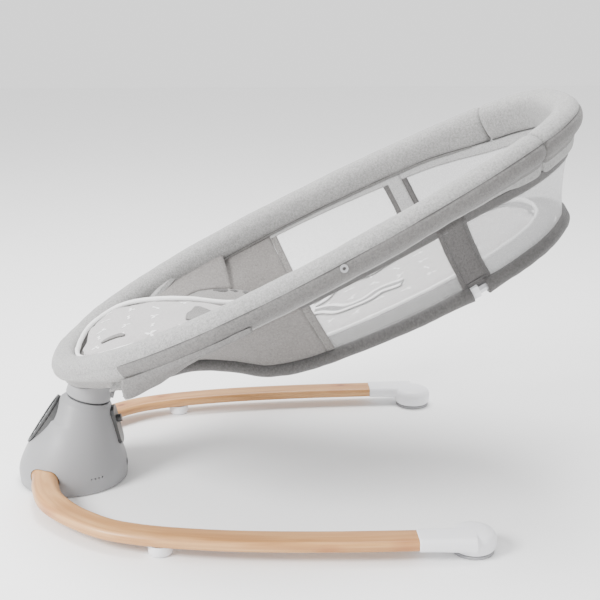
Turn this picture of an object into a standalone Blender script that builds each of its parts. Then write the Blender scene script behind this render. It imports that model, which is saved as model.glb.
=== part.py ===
"""Electric baby bouncer seat: a padded oval seat on a tilted shaft, above a round base with two legs.

Metres, +Z up. The origin is the centre of the base's underside, on the floor. +X runs from the foot end of
the seat to its head end. The seat's own pieces are modelled in the plane of its rim, in an empty that is
tilted by SEAT_SLOPE: u along the slope, v to the left, w square to both.
"""

import math

import bmesh
import bpy
from mathutils import Matrix, Vector

# Base housing
BASE_RADIUS = 0.0755
BASE_SKIRT_HEIGHT = 0.0235
BASE_WALL = 0.0025
BELL_FRONT = ((-0.062, 0.0535), (-0.0387, 0.0871), (-0.0155, 0.1207))
BELL_REAR = ((0.0697, 0.0485), (0.0635, 0.080), (0.0575, 0.106))
FLOOR_GAP = 0.0012
NECK_RADIUS = 0.0317
NECK_CENTRE = Vector((0.025, 0.0, 0.1195))
NECK_SEAL_BORE = 0.019
GRIP_PAD_RADIUS = 0.056
GRIP_PAD_THICKNESS = 0.0018
COVER_THICKNESS = 0.0025
COVER_SCREWS = 3
COVER_SCREW_RING = 0.064

# Controls
PANEL_LENGTH = 0.082
PANEL_WIDTH = 0.056
PANEL_FLARE = 0.22
PANEL_DEPTH = 0.013
KEY_RADIUS = 0.0046
KEY_ROWS = (0.026, 0.008, -0.009, -0.024)
KEY_TRAVEL = 0.0008
REAR_PANEL_LENGTH = 0.056
REAR_PANEL_WIDTH = 0.030
REAR_PANEL_CORNER = 0.010
REAR_BUTTON_RADIUS = 0.0055
REAR_BUTTON_RISE = 0.008
SOUND_HOLES = 4
SOUND_HOLE_RADIUS = 0.0012
SOUND_HOLE_HEIGHT = 0.0225
SOUND_HOLE_START = math.radians(-63.5)
SOUND_HOLE_STEP = math.radians(4.1)
SPEAKER_RADIUS = 0.012
INLET_RADIUS = 0.0055
INLET_BORE_RADIUS = 0.0029
INLET_HEIGHT = 0.0185

# Swing drive
AXIS_TILT = math.radians(15)
SHAFT_RADIUS = 0.008
SHAFT_LOW = -0.079
BEARING_TOP = -0.004
BEARING_WIDTH = 0.008
BEARING_WALL = 0.007
CARRIER_WALL = 0.0027
CARRIER_LENGTH = 0.060
CARRIER_FLANGE_DROP = 0.0235
CARRIER_FLANGE_THICKNESS = 0.003
ARM_REACH = 0.032
ARM_LOW = -0.0775
MAGNET_RADIUS = 0.009
COIL_RADIUS = 0.014
COIL_BORE_RADIUS = 0.006
COIL_TOP = -0.0825
COIL_HEIGHT = 0.008
COIL_POST_RADIUS = 0.008

# Legs
LEG_WIDTH = 0.036
LEG_THICKNESS = 0.015
LEG_ROOT_THICKNESS = 0.025
LEG_ROOT_FLOOR = 0.0105
LEG_UNDERSIDE = 0.014
LEG_THIN_FROM = 0.030
LEG_EDGE = 0.42
LEG_HOLE_GAP = 0.0008
LEG_SPREAD = 0.262
LEG_END = 0.478
LEG_LINE = (
    (-0.036, 0.040),
    (-0.030, 0.065),
    (-0.026, 0.090),
    (-0.011, 0.133),
    (0.022, 0.172),
    (0.062, 0.205),
    (0.099, 0.2225),
    (0.154, 0.2375),
    (0.239, 0.251),
    (0.350, 0.259),
    (LEG_END, LEG_SPREAD),
)
CAP_START = 0.455
CAP_WALL = 0.0011
CAP_FOOT_X = 0.5276
CAP_FOOT_Y = 0.2489
CAP_FOOT_RADIUS = 0.029
SOLE_RADIUS = 0.0266
SOLE_HEIGHT = 0.0035
MID_FOOT_X = 0.138
MID_FOOT_RADIUS = 0.0155

# Seat frame
SEAT_SLOPE = math.radians(27)
FOOT_HEIGHT = 0.1795
SEAT_LENGTH = 0.753
SEAT_WIDTH = 0.446
FOOT_ROUNDNESS = 0.98
HEAD_ROUNDNESS = 0.62
FOOT_FULLNESS = 0.105
RIM_TUBE_RADIUS = 0.008
RIM_SPLIT = math.radians(138)
RIM_JOIN = math.radians(58)
RIM_TURN_OUT = Vector((0.066, 0.108, -0.033))
CRADLE_DEPTH = 0.128
CRADLE_TUBE_RADIUS = 0.0065
CRADLE_HALF_WIDTH = 0.162
CRADLE_LINE = (
    (0.138, 0.650, -0.370),
    (0.219, 0.926, -0.350),
    (0.262, 0.975, -0.420),
    (0.303, 1.000, -0.565),
    (0.352, 1.000, -0.768),
    (0.425, 1.000, -0.890),
    (0.570, 0.990, -0.980),
    (0.717, 0.957, -1.000),
    (0.837, 0.772, -1.000),
    (0.910, 0.401, -1.000),
    (0.930, 0.000, -1.000),
)
CLIP_AT = 0.705
CLIP_HALF_LENGTH = 0.019
CLIP_WALL = 0.003
HUB_HALF_WIDTH = 0.070
HUB_FRONT = 0.020
HUB_BACK = 0.094
HUB_FLOOR = -0.0720
HUB_ROOF = -0.0335
HUB_UNDERCUT = math.radians(19.8)
HUB_STEM_RADIUS = 0.020
HUB_STEM_TOP = 0.0305
HUB_SOCKET_TOP = 0.028
RIM_EXIT = Vector((0.055, HUB_HALF_WIDTH - 0.010, -0.0415))
CRADLE_EXIT = Vector((0.080, HUB_HALF_WIDTH - 0.010, -0.0455))
COLLAR_WALL = 0.0025
COLLAR_TOP_RADIUS = 0.0305
COLLAR_TOP = 0.1425
COLLAR_LENGTH = 0.034
CATCH_RISE = 0.009

# Seat soft goods
RIM_ROLL_WIDTH = 0.038
RIM_ROLL_ABOVE = 0.0195
RIM_ROLL_BELOW = 0.0200
FOOT_SPLIT = math.radians(52)
COVER_HALF_WIDTH = 0.128
COVER_BACK = 0.106
WALL_START = math.radians(60)
WALL_SPLIT = math.radians(135)
WALL_THICKNESS = 0.0025
FLOOR_THICKNESS = 0.004
FLOOR_SAG = 0.006
FLOOR_LINE = (
    (0.040, -0.05), (0.120, -0.09), (0.212, -0.24), (0.285, -0.56),
    (0.365, -0.83), (0.470, -0.93), (0.660, -0.965), (0.890, -0.955),
)
FLOOR_EDGE = (
    (0.040, 0.30), (0.075, 0.50), (0.130, 0.60), (0.212, 0.74), (0.300, 0.90), (0.400, 0.925),
    (0.560, 0.92), (0.700, 0.89), (0.800, 0.74), (0.850, 0.60), (0.890, 0.36),
)
INSERT_THICKNESS = 0.014
INSERT_LIFT = FLOOR_THICKNESS / 2 + INSERT_THICKNESS / 2 + 0.0012
INSERT_TOP = INSERT_LIFT + INSERT_THICKNESS / 2
INSERT_EDGE = (
    (0.046, 0.26), (0.058, 0.43), (0.082, 0.56), (0.118, 0.625), (0.190, 0.590), (0.255, 0.560),
    (0.330, 0.66), (0.430, 0.77), (0.640, 0.80), (0.760, 0.72), (0.840, 0.55), (0.880, 0.30),
)
SURFACE_STATIONS = (0.075, 0.12, 0.17, 0.22, 0.26, 0.30, 0.34, 0.38, 0.43, 0.52, 0.62, 0.72, 0.79, 0.84)
STRAP_WIDTH = 0.024
STRAP_THICKNESS = 0.002
STRAP_LIFT = 0.003
CROTCH_STRAP_ROOT = 0.325
WAIST_STRAP_END = 0.66
BUCKLE_SIZE = (0.036, 0.030, 0.012)
BUCKLE_AT = 0.40 * SEAT_LENGTH
BUCKLE_LIFT = 0.024
BUCKLE_BUTTON_RADIUS = 0.0085
EYELET_TURN = math.radians(94.6)
EYELET_HEIGHT = -0.0010
EYELET_RADIUS = 0.005
EYELET_BORE_RADIUS = 0.0022

# Fits
GAP = 0.0004
RUN_GAP = 0.0003
CAP_GAP = 0.0003
SEAM_GAP = 0.0016
SWING_GAP = 0.003

SIDES = (("left", 1), ("right", -1))

for old in list(bpy.data.objects):
    bpy.data.objects.remove(old, do_unlink=True)

PARTS = bpy.data.collections.new("bouncer_seat")
CUTTERS = bpy.data.collections.new("cutters")
for collection in (PARTS, CUTTERS):
    bpy.context.scene.collection.children.link(collection)
CUTTERS.hide_render = True


def material(name, colour, roughness, metallic=0.0):
    made = bpy.data.materials.new(name)
    made.use_nodes = True
    shader = made.node_tree.nodes["Principled BSDF"]
    shader.inputs["Base Color"].default_value = (*colour, 1)
    shader.inputs["Roughness"].default_value = roughness
    shader.inputs["Metallic"].default_value = metallic
    return made


GREY_PLASTIC = material("grey_plastic", (0.60, 0.60, 0.61), 0.45)
WHITE_PLASTIC = material("white_plastic", (0.82, 0.82, 0.83), 0.35)
DARK_PLASTIC = material("dark_plastic", (0.05, 0.05, 0.055), 0.25)
BLACK_RUBBER = material("black_rubber", (0.04, 0.04, 0.04), 0.8)
GREY_RUBBER = material("grey_rubber", (0.35, 0.35, 0.36), 0.8)
WOOD = material("wood", (0.50, 0.32, 0.18), 0.5)
STEEL = material("steel", (0.55, 0.55, 0.56), 0.3, 1.0)
COPPER = material("copper", (0.60, 0.30, 0.16), 0.35, 1.0)
BOARD = material("circuit_board", (0.05, 0.22, 0.10), 0.5)
TUBE_METAL = material("tube_metal", (0.62, 0.62, 0.64), 0.35, 1.0)
GREY_FABRIC = material("grey_fabric", (0.45, 0.44, 0.43), 0.9)
DARK_FABRIC = material("dark_fabric", (0.24, 0.23, 0.22), 0.9)
PAD_FABRIC = material("pad_fabric", (0.78, 0.75, 0.73), 0.9)
WEBBING = material("webbing", (0.85, 0.85, 0.85), 0.8)


def empty(name, matrix, parent=None):
    made = bpy.data.objects.new(name, None)
    PARTS.objects.link(made)
    made.parent = parent
    made.matrix_world = matrix
    bpy.context.view_layer.update()
    return made


def add(name, mesh, finish, parent=None, place=None):
    """A named part made from a mesh whose points are in its parent's frame."""
    made = bpy.data.objects.new(name, mesh)
    PARTS.objects.link(made)
    if finish:
        mesh.materials.clear()
        mesh.materials.append(finish)
    made.parent = parent
    if place is not None:
        made.matrix_local = place
    return made


def as_cutter(made):
    PARTS.objects.unlink(made)
    CUTTERS.objects.link(made)
    made.hide_render = True
    made.display_type = "WIRE"
    return made


def combine(target, other, operation):
    modifier = target.modifiers.new(operation.lower(), "BOOLEAN")
    modifier.operation = operation
    modifier.object = as_cutter(other)


def cut(target, *others):
    for other in others:
        combine(target, other, "DIFFERENCE")


def join(target, *others):
    for other in others:
        combine(target, other, "UNION")


def smooth(made, angle=35):
    made.data.shade_smooth()
    made.data.set_sharp_from_angle(angle=math.radians(angle))
    return made


def mesh_from(name, work, finish, parent=None, place=None):
    bmesh.ops.recalc_face_normals(work, faces=work.faces)
    mesh = bpy.data.meshes.new(name)
    work.to_mesh(mesh)
    work.free()
    return smooth(add(name, mesh, finish, parent, place))


def cylinder(name, radius, low, high, finish, parent=None, place=None, segments=32, top_radius=None):
    """A cylinder along its own Z from low to high."""
    work = bmesh.new()
    bmesh.ops.create_cone(
        work,
        cap_ends=True,
        segments=segments,
        radius1=radius,
        radius2=radius if top_radius is None else top_radius,
        depth=high - low,
        matrix=Matrix.Translation((0, 0, (low + high) / 2)),
    )
    return mesh_from(name, work, finish, parent, place)


def box(name, low, high, finish, parent=None, place=None, bevel=0.0):
    work = bmesh.new()
    size = Vector(high) - Vector(low)
    middle = (Vector(high) + Vector(low)) / 2
    bmesh.ops.create_cube(work, size=1, matrix=Matrix.Translation(middle) @ Matrix.Diagonal((*size, 1)))
    made = mesh_from(name, work, finish, parent, place)
    if bevel:
        modifier = made.modifiers.new("round", "BEVEL")
        modifier.width = bevel
        modifier.segments = 2
    return made


def turned(name, profile, finish, parent=None, place=None, segments=40):
    """A closed profile of (radius, height) points, turned about Z. It runs down its outer side."""
    mesh = bpy.data.meshes.new(name)
    count = len(profile)
    edges = [(i, (i + 1) % count) for i in range(count)]
    mesh.from_pydata([(r, 0, z) for r, z in profile], edges, [])
    made = add(name, mesh, finish, parent, place)
    screw = made.modifiers.new("turn", "SCREW")
    screw.steps = screw.render_steps = segments
    screw.use_merge_vertices = True
    screw.merge_threshold = 0.00001
    return made


def ring(name, inner, outer, low, high, finish, parent=None, place=None, segments=40):
    profile = [(outer, high), (outer, low), (inner, low), (inner, high)]
    return turned(name, profile, finish, parent, place, segments)


def slab(name, outline, low, high, finish, parent=None, place=None):
    """A flat outline in XY, given thickness along its own Z, as a filled 2D curve made into a mesh."""
    curve = bpy.data.curves.new(name, "CURVE")
    curve.dimensions = "2D"
    curve.fill_mode = "BOTH"
    curve.extrude = (high - low) / 2
    spline = curve.splines.new("POLY")
    spline.points.add(len(outline) - 1)
    for point, (x, y) in zip(spline.points, outline):
        point.co = (x, y, 0, 1)
    spline.use_cyclic_u = True
    made = curve_to_mesh(name, curve, finish, parent, place)
    made.data.transform(Matrix.Translation((0, 0, (low + high) / 2)))
    return made


def curve_to_mesh(name, curve, finish, parent=None, place=None):
    guide = bpy.data.objects.new(name + "_guide", curve)
    PARTS.objects.link(guide)
    graph = bpy.context.evaluated_depsgraph_get()
    mesh = bpy.data.meshes.new_from_object(guide.evaluated_get(graph))
    bpy.data.objects.remove(guide, do_unlink=True)
    work = bmesh.new()
    work.from_mesh(mesh)
    bmesh.ops.remove_doubles(work, verts=work.verts, dist=0.00001)
    bpy.data.meshes.remove(mesh)
    return mesh_from(name, work, finish, parent, place)


def sweep(name, points, outline, finish, parent=None):
    """An outline in (across, up) carried along a path that is nowhere vertical, with filled ends."""
    profile_curve = bpy.data.curves.new(name + "_profile", "CURVE")
    profile_curve.dimensions = "2D"
    spline = profile_curve.splines.new("POLY")
    spline.points.add(len(outline) - 1)
    for point, (x, y) in zip(spline.points, outline):
        point.co = (x, y, 0, 1)
    spline.use_cyclic_u = True
    profile = bpy.data.objects.new(name + "_profile", profile_curve)
    CUTTERS.objects.link(profile)
    profile.hide_render = True
    curve = path_curve(name, points)
    curve.twist_mode = "Z_UP"
    curve.bevel_mode = "OBJECT"
    curve.bevel_object = profile
    return curve_to_mesh(name, curve, finish, parent)


def path_curve(name, points):
    curve = bpy.data.curves.new(name, "CURVE")
    curve.dimensions = "3D"
    curve.use_fill_caps = True
    spline = curve.splines.new("POLY")
    spline.points.add(len(points) - 1)
    for point, place in zip(spline.points, points):
        point.co = (*place, 1)
    return curve


def tube(name, points, radius, finish, parent=None):
    curve = path_curve(name, points)
    curve.bevel_depth = radius
    curve.bevel_resolution = 2
    return curve_to_mesh(name, curve, finish, parent)


def loft(name, rings, finish, parent=None, caps=True):
    """A skin through rings that have the same number of points, for sections that differ along a path."""
    work = bmesh.new()
    loops = [[work.verts.new(point) for point in one] for one in rings]
    count = len(rings[0])
    for first, second in zip(loops, loops[1:]):
        for i in range(count):
            j = (i + 1) % count
            work.faces.new((first[i], first[j], second[j], second[i]))
    if caps:
        work.faces.new(loops[0][::-1])
        work.faces.new(loops[-1])
    return mesh_from(name, work, finish, parent)


def sheet(name, rows, thickness, finish, parent=None):
    """An open grid of points given thickness both ways."""
    work = bmesh.new()
    bmesh.ops.create_grid(work, x_segments=len(rows) - 1, y_segments=len(rows[0]) - 1, size=1)
    work.verts.ensure_lookup_table()
    order = sorted(work.verts, key=lambda vert: (round(vert.co.x, 5), round(vert.co.y, 5)))
    for vert, place in zip(order, [point for row in rows for point in row]):
        vert.co = place
    made = mesh_from(name, work, finish, parent)
    solidify = made.modifiers.new("thickness", "SOLIDIFY")
    solidify.thickness = thickness
    solidify.offset = 0
    return made


def spline_through(points, per_span):
    """Points along a smooth curve (Catmull-Rom) through the given ones."""
    points = [Vector(point) for point in points]
    ends = [2 * points[0] - points[1], *points, 2 * points[-1] - points[-2]]
    found = []
    for a, b, c, d in zip(ends, ends[1:], ends[2:], ends[3:]):
        for step in range(per_span):
            t = step / per_span
            found.append(
                b + (c - a) * t / 2
                + (a - 2.5 * b + 2 * c - d / 2) * t**2
                + (1.5 * b - a / 2 - 1.5 * c + d / 2) * t**3
            )
    return [*found, points[-1]]


def height_at(curve, where):
    """The second value of a list of points at a first value, between its neighbours."""
    for a, b in zip(curve, curve[1:]):
        if a[0] <= where <= b[0]:
            return a[1] + (b[1] - a[1]) * (where - a[0]) / (b[0] - a[0])
    return curve[0][1] if where < curve[0][0] else curve[-1][1]


def circle(radius_x, radius_y, count, centre=(0, 0), start=0.0):
    turns = [start + 2 * math.pi * i / count for i in range(count)]
    return [(centre[0] + radius_x * math.cos(t), centre[1] + radius_y * math.sin(t)) for t in turns]


def rounded_rectangle(width, height, radius, per_corner=3):
    outline = []
    corners = ((1, 1, 0), (-1, 1, 1), (-1, -1, 2), (1, -1, 3))
    for side_x, side_y, quarter in corners:
        for step in range(per_corner):
            turn = math.pi / 2 * (quarter + step / (per_corner - 1))
            x = side_x * (width / 2 - radius) + radius * math.cos(turn)
            y = side_y * (height / 2 - radius) + radius * math.sin(turn)
            outline.append((x, y))
    return outline


SWING_FRAME = Matrix.Translation(NECK_CENTRE) @ Matrix.Rotation(AXIS_TILT, 4, "Y")
swing_axis = empty("swing_axis", SWING_FRAME)
SEAT_FRAME = Matrix.Translation((0, 0, FOOT_HEIGHT)) @ Matrix.Rotation(-SEAT_SLOPE, 4, "Y")
seat_plane = empty("seat_plane", SEAT_FRAME, swing_axis)


# ---------------------------------------------------------------- base

def bell_line(side, upper):
    return spline_through([(side * BASE_RADIUS, FLOOR_GAP), (side * BASE_RADIUS, BASE_SKIRT_HEIGHT), *upper], 2)


FRONT_LINE = bell_line(-1, BELL_FRONT)
REAR_LINE = bell_line(1, BELL_REAR)


def neck_point(side):
    return NECK_CENTRE + Matrix.Rotation(AXIS_TILT, 3, "Y") @ Vector((side * NECK_RADIUS, 0, 0))


def bell_rings(segments=36):
    """Circles between the front and rear lines of the housing, the last one square to the swing axis."""
    lines = [*zip(FRONT_LINE, REAR_LINE)]
    ends = [(Vector((f[0], 0, f[1])), Vector((r[0], 0, r[1]))) for f, r in lines]
    ends.append((neck_point(-1), neck_point(1)))
    rings = []
    for front, rear in ends:
        middle = (front + rear) / 2
        across = (rear - front) / 2
        turns = [2 * math.pi * i / segments for i in range(segments)]
        rings.append(
            [middle + across * math.cos(t) + Vector((0, across.length * math.sin(t), 0)) for t in turns]
        )
    return rings


def facing(point, normal, up=(0, 0, 1)):
    """A frame at a point whose Z is the normal and whose Y leans towards up."""
    z = Vector(normal).normalized()
    x = Vector(up).cross(z).normalized()
    y = z.cross(x)
    turn = Matrix((x, y, z)).transposed().to_4x4()
    return Matrix.Translation(point) @ turn


def bell_frame(line):
    """A frame on the middle of the straight upper part of one line of the housing, facing outwards."""
    low, high = (Vector((x, 0, z)) for x, z in (line[0], line[-1]))
    rise = high - low
    outward = Vector((rise.z, 0, -rise.x))
    if outward.x * low.x < 0:
        outward = -outward
    return facing((low + high) / 2, outward)


PANEL_FRAME = bell_frame(BELL_FRONT)
REAR_FRAME = bell_frame(BELL_REAR)
INLET_FRAME = facing((BASE_RADIUS, 0, INLET_HEIGHT), (1, 0, 0))


def egg(grow=0.0, count=28):
    """The control panel's outline: widest above its middle and narrow at its foot."""
    outline = []
    for i in range(count):
        turn = 2 * math.pi * i / count
        y = (PANEL_LENGTH / 2 + grow) * math.sin(turn)
        width = PANEL_WIDTH / 2 * (1 + PANEL_FLARE * math.sin(turn)) + grow
        outline.append((width * math.cos(turn), y))
    return outline


def make_housing():
    housing = loft("base_housing", bell_rings(), GREY_PLASTIC, caps=False)
    solidify = housing.modifiers.new("wall", "SOLIDIFY")
    solidify.thickness = BASE_WALL
    solidify.offset = -1
    for label, side in SIDES:
        cut(housing, leg_solid(f"{label}_leg_hole", side, LEG_HOLE_GAP, WOOD))
    cut(housing, slab("panel_hole", egg(GAP), -PANEL_DEPTH - GAP, 0.02, GREY_PLASTIC, place=PANEL_FRAME))
    hole = rounded_rectangle(REAR_PANEL_WIDTH + 2 * GAP, REAR_PANEL_LENGTH + 2 * GAP, REAR_PANEL_CORNER)
    cut(housing, slab("rear_hole", hole, -0.02, 0.02, GREY_PLASTIC, place=REAR_FRAME))
    cut(housing, cylinder("inlet_hole", INLET_RADIUS + GAP, -0.02, 0.01, GREY_PLASTIC, place=INLET_FRAME))
    for i in range(SOUND_HOLES):
        turn = SOUND_HOLE_START + SOUND_HOLE_STEP * i
        outward = Vector((math.cos(turn), math.sin(turn), 0))
        place = facing(outward * BASE_RADIUS + Vector((0, 0, SOUND_HOLE_HEIGHT)), outward)
        name = f"sound_hole_{i}"
        cut(housing, cylinder(name, SOUND_HOLE_RADIUS, -0.01, 0.01, GREY_PLASTIC, place=place, segments=8))


def upright(x, y):
    return Matrix.Translation((x, y, 0))


def make_underside():
    low = GRIP_PAD_THICKNESS + GAP
    radius = BASE_RADIUS - BASE_WALL - GAP
    cover = cylinder("base_bottom_cover", radius, low, low + COVER_THICKNESS, GREY_PLASTIC)
    seat = SWING_FRAME @ Vector((ARM_REACH, 0, COIL_TOP - COIL_HEIGHT))
    top = seat.z - COIL_POST_RADIUS * math.tan(AXIS_TILT) - 2 * GAP
    place = upright(seat.x, 0)
    join(cover, cylinder("coil_post", COIL_POST_RADIUS, low + 0.001, top, GREY_PLASTIC, place=place, segments=20))
    cylinder("base_grip_pad", GRIP_PAD_RADIUS, 0, GRIP_PAD_THICKNESS, BLACK_RUBBER, segments=40)
    for i in range(COVER_SCREWS):
        turn = 2 * math.pi * (i + 0.5) / COVER_SCREWS
        place = upright(COVER_SCREW_RING * math.cos(turn), COVER_SCREW_RING * math.sin(turn))
        cut(cover, cylinder(f"screw_hole_{i}", 0.0021, -0.01, 0.01, GREY_PLASTIC, place=place, segments=12))
        head = cylinder(f"cover_screw_{i + 1}", 0.0034, low - 0.0015, low - GAP, STEEL, place=place, segments=12)
        join(head, cylinder(f"screw_shank_{i}", 0.0017, low - 0.001, low + 0.008, STEEL, place=place, segments=12))


def make_controls():
    panel = slab("control_panel", egg(), -PANEL_DEPTH, 0, DARK_PLASTIC, place=PANEL_FRAME)
    for i, y in enumerate(KEY_ROWS):
        key = {"finish": DARK_PLASTIC, "place": PANEL_FRAME @ upright(0, y), "segments": 20}
        cut(panel, cylinder(f"key_well_{i}", KEY_RADIUS + RUN_GAP, -0.004, 0.002, **key))
        cylinder(f"panel_key_{i + 1}", KEY_RADIUS, KEY_TRAVEL - 0.0035, KEY_TRAVEL, **key)
    outline = rounded_rectangle(REAR_PANEL_WIDTH, REAR_PANEL_LENGTH, REAR_PANEL_CORNER)
    rear = slab("rear_panel", outline, -0.004, 0.003, DARK_PLASTIC, place=REAR_FRAME)
    button = {"finish": DARK_PLASTIC, "place": REAR_FRAME @ upright(0, REAR_BUTTON_RISE), "segments": 24}
    cut(rear, cylinder("rear_button_hole", REAR_BUTTON_RADIUS + RUN_GAP, -0.01, 0.01, **button))
    cylinder("rear_button", REAR_BUTTON_RADIUS, -0.006, 0.009, **button)
    inlet = cylinder("power_inlet", INLET_RADIUS, -0.011, 0.0006, DARK_PLASTIC, place=INLET_FRAME, segments=20)
    bore = cylinder("inlet_bore", INLET_BORE_RADIUS, -0.008, 0.01, DARK_PLASTIC, place=INLET_FRAME, segments=16)
    cut(inlet, bore)


def make_drive():
    bearing_inner = SHAFT_RADIUS + RUN_GAP
    bearing_outer = bearing_inner + BEARING_WALL
    carrier_inner = bearing_outer + RUN_GAP
    carrier_outer = carrier_inner + CARRIER_WALL
    carrier_low = BEARING_TOP - CARRIER_LENGTH
    fixed = {"place": SWING_FRAME, "segments": 24}
    cylinder("swing_shaft", SHAFT_RADIUS, SHAFT_LOW, HUB_SOCKET_TOP - GAP, STEEL, parent=swing_axis, segments=24)
    ring("upper_bearing", bearing_inner, bearing_outer, BEARING_TOP - BEARING_WIDTH, BEARING_TOP, STEEL, **fixed)
    low = carrier_low + 0.002
    ring("lower_bearing", bearing_inner, bearing_outer, low, low + BEARING_WIDTH, STEEL, **fixed)
    flange = NECK_RADIUS - BASE_WALL - 2 * GAP
    flange_top = BEARING_TOP - CARRIER_FLANGE_DROP
    flange_low = flange_top - CARRIER_FLANGE_THICKNESS
    profile = [
        (flange, flange_top),
        (flange, flange_low),
        (carrier_outer, flange_low),
        (carrier_outer, carrier_low),
        (carrier_inner, carrier_low),
        (carrier_inner, BEARING_TOP),
        (carrier_outer, BEARING_TOP),
        (carrier_outer, flange_top),
    ]
    turned("bearing_carrier", profile, GREY_PLASTIC, place=SWING_FRAME, segments=32)
    low_corner = (-0.012, -0.011, ARM_LOW)
    high_corner = (ARM_REACH + 0.007, 0.011, carrier_low - 0.003)
    arm = box("drive_arm", low_corner, high_corner, STEEL, parent=swing_axis)
    cut(arm, cylinder("arm_bore", SHAFT_RADIUS + RUN_GAP, -0.1, 0, STEEL, parent=swing_axis, segments=24))
    place = upright(ARM_REACH, 0)
    cylinder("drive_magnet", MAGNET_RADIUS, COIL_TOP + 0.0015, ARM_LOW - GAP, STEEL, swing_axis, place, 24)
    coil = {"place": SWING_FRAME @ place, "segments": 24}
    ring("drive_coil", COIL_BORE_RADIUS, COIL_RADIUS, COIL_TOP - COIL_HEIGHT, COIL_TOP, COPPER, **coil)
    board = PANEL_FRAME @ Matrix.Translation((0, -0.006, -PANEL_DEPTH - 0.006))
    box("control_board", (-0.017, -0.024, 0), (0.017, 0.022, 0.0016), BOARD, place=board)
    place = facing((0.028, -0.050, 0.020), (0.3, -1, 0))
    cylinder("speaker", SPEAKER_RADIUS, -0.008, 0, DARK_PLASTIC, place=place, segments=24)
    seal = NECK_RADIUS - BASE_WALL - GAP
    ring("neck_seal", NECK_SEAL_BORE, seal, -0.0035, 0.0018, BLACK_RUBBER, place=SWING_FRAME, segments=32)


# ---------------------------------------------------------------- legs

LEG_POINTS = spline_through(LEG_LINE, 2)


def leg_share(x):
    """How far the leg is from its root (0) to where it reaches its full thinness (1)."""
    root = LEG_LINE[1][0]
    return min(1, max(0, (x - root) / (LEG_THIN_FROM - root)))


def leg_thickness(x):
    share = leg_share(x)
    return LEG_ROOT_THICKNESS + (LEG_THICKNESS - LEG_ROOT_THICKNESS) * share * share * (3 - 2 * share)


def leg_section(index, side, grow):
    """The leg's outline across its line at one point, with round edges."""
    before = LEG_POINTS[max(0, index - 1)]
    after = LEG_POINTS[min(len(LEG_POINTS) - 1, index + 1)]
    here = LEG_POINTS[index]
    ahead = (after - before).normalized()
    across = Vector((-ahead.y, ahead.x))
    thick = leg_thickness(here.x) + 2 * grow
    base = leg_floor(here.x) - grow
    section = []
    for x, z in rounded_rectangle(LEG_WIDTH + 2 * grow, thick, thick * LEG_EDGE):
        flat = here + across * x
        section.append(Vector((flat.x, side * flat.y, base + thick / 2 + z)))
    return section[::side]


def leg_floor(x):
    """The underside of the leg: low inside the base, at its full height along the floor stretch."""
    return LEG_ROOT_FLOOR + (LEG_UNDERSIDE - LEG_ROOT_FLOOR) * leg_share(x)


def leg_solid(name, side, grow, finish):
    """The whole leg. A grown copy of it is the hole it fits."""
    return loft(name, [leg_section(i, side, grow) for i in range(len(LEG_POINTS))], finish)


def leg_y(x):
    return height_at(LEG_POINTS, x)


def make_legs():
    for label, side in SIDES:
        leg_solid(f"{label}_leg", side, 0, WOOD)
        foot = {"place": upright(MID_FOOT_X, side * leg_y(MID_FOOT_X)), "segments": 28}
        cylinder(f"{label}_mid_foot", MID_FOOT_RADIUS, 0, LEG_UNDERSIDE - GAP, WHITE_PLASTIC, **foot)
        make_cap(label, side)


def make_cap(label, side):
    """The moulded cap: a sleeve over the leg's end that swells into a round foot."""
    middle = LEG_UNDERSIDE + LEG_THICKNESS / 2
    grow = CAP_WALL + CAP_GAP
    rings = []
    for x, low in ((CAP_START, 0), (CAP_START + 0.02, 0), (CAP_FOOT_X - 0.012, 0.002), (CAP_FOOT_X, 0.004)):
        wide = LEG_WIDTH + 2 * grow + low
        tall = LEG_THICKNESS + 2 * grow + low
        outline = rounded_rectangle(wide, tall, tall * LEG_EDGE)
        y = side * leg_y(min(x, LEG_END))
        rings.append([Vector((x, y + a, middle - low / 2 + b)) for a, b in outline])
    cap = loft(f"{label}_end_cap", rings, WHITE_PLASTIC)
    top = LEG_UNDERSIDE + LEG_THICKNESS + grow
    place = upright(CAP_FOOT_X, side * CAP_FOOT_Y)
    low = SOLE_HEIGHT + GAP
    profile = [
        (0, top),
        (CAP_FOOT_RADIUS * 0.55, top - 0.0006),
        (CAP_FOOT_RADIUS * 0.86, top - 0.004),
        (CAP_FOOT_RADIUS, top - 0.012),
        (CAP_FOOT_RADIUS * 0.97, low + 0.004),
        (CAP_FOOT_RADIUS * 0.9, low),
        (0, low),
    ]
    join(cap, turned(f"{label}_cap_foot", profile, WHITE_PLASTIC, place=place, segments=32))
    cut(cap, leg_socket(f"{label}_cap_socket", side))
    cylinder(f"{label}_cap_sole", SOLE_RADIUS, 0, SOLE_HEIGHT, GREY_RUBBER, place=place, segments=32)


def leg_socket(name, side):
    last = len(LEG_POINTS) - 1
    rings = [leg_section(i, side, CAP_GAP) for i in range(last - 2, last + 1)]
    ahead = (rings[-1][0] - rings[-2][0]).normalized() * CAP_GAP
    rings[-1] = [point + ahead for point in rings[-1]]
    return loft(name, rings, WHITE_PLASTIC)


# ---------------------------------------------------------------- seat frame


def rim_point(turn):
    """The rim's centre line in the seat's plane, from the foot (0) to the head (pi), on the left side."""
    share = (1 - math.cos(turn)) / 2
    power = FOOT_ROUNDNESS + (HEAD_ROUNDNESS - FOOT_ROUNDNESS) * share
    half = SEAT_WIDTH / 2 * max(0.0, math.sin(turn)) ** power * (1 + FOOT_FULLNESS * math.cos(turn))
    return Vector((SEAT_LENGTH * share, half, 0))


def rim_points(start, end, count):
    return [rim_point(start + (end - start) * i / (count - 1)) for i in range(count)]


def rim_section_points(start, end, count):
    """As rim_points, with a short first and last step, so that cut ends stand square to the rim."""
    step = 0.012
    inner = rim_points(start + step, end - step, count - 2)
    return [rim_point(start), *inner, rim_point(end)]


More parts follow.
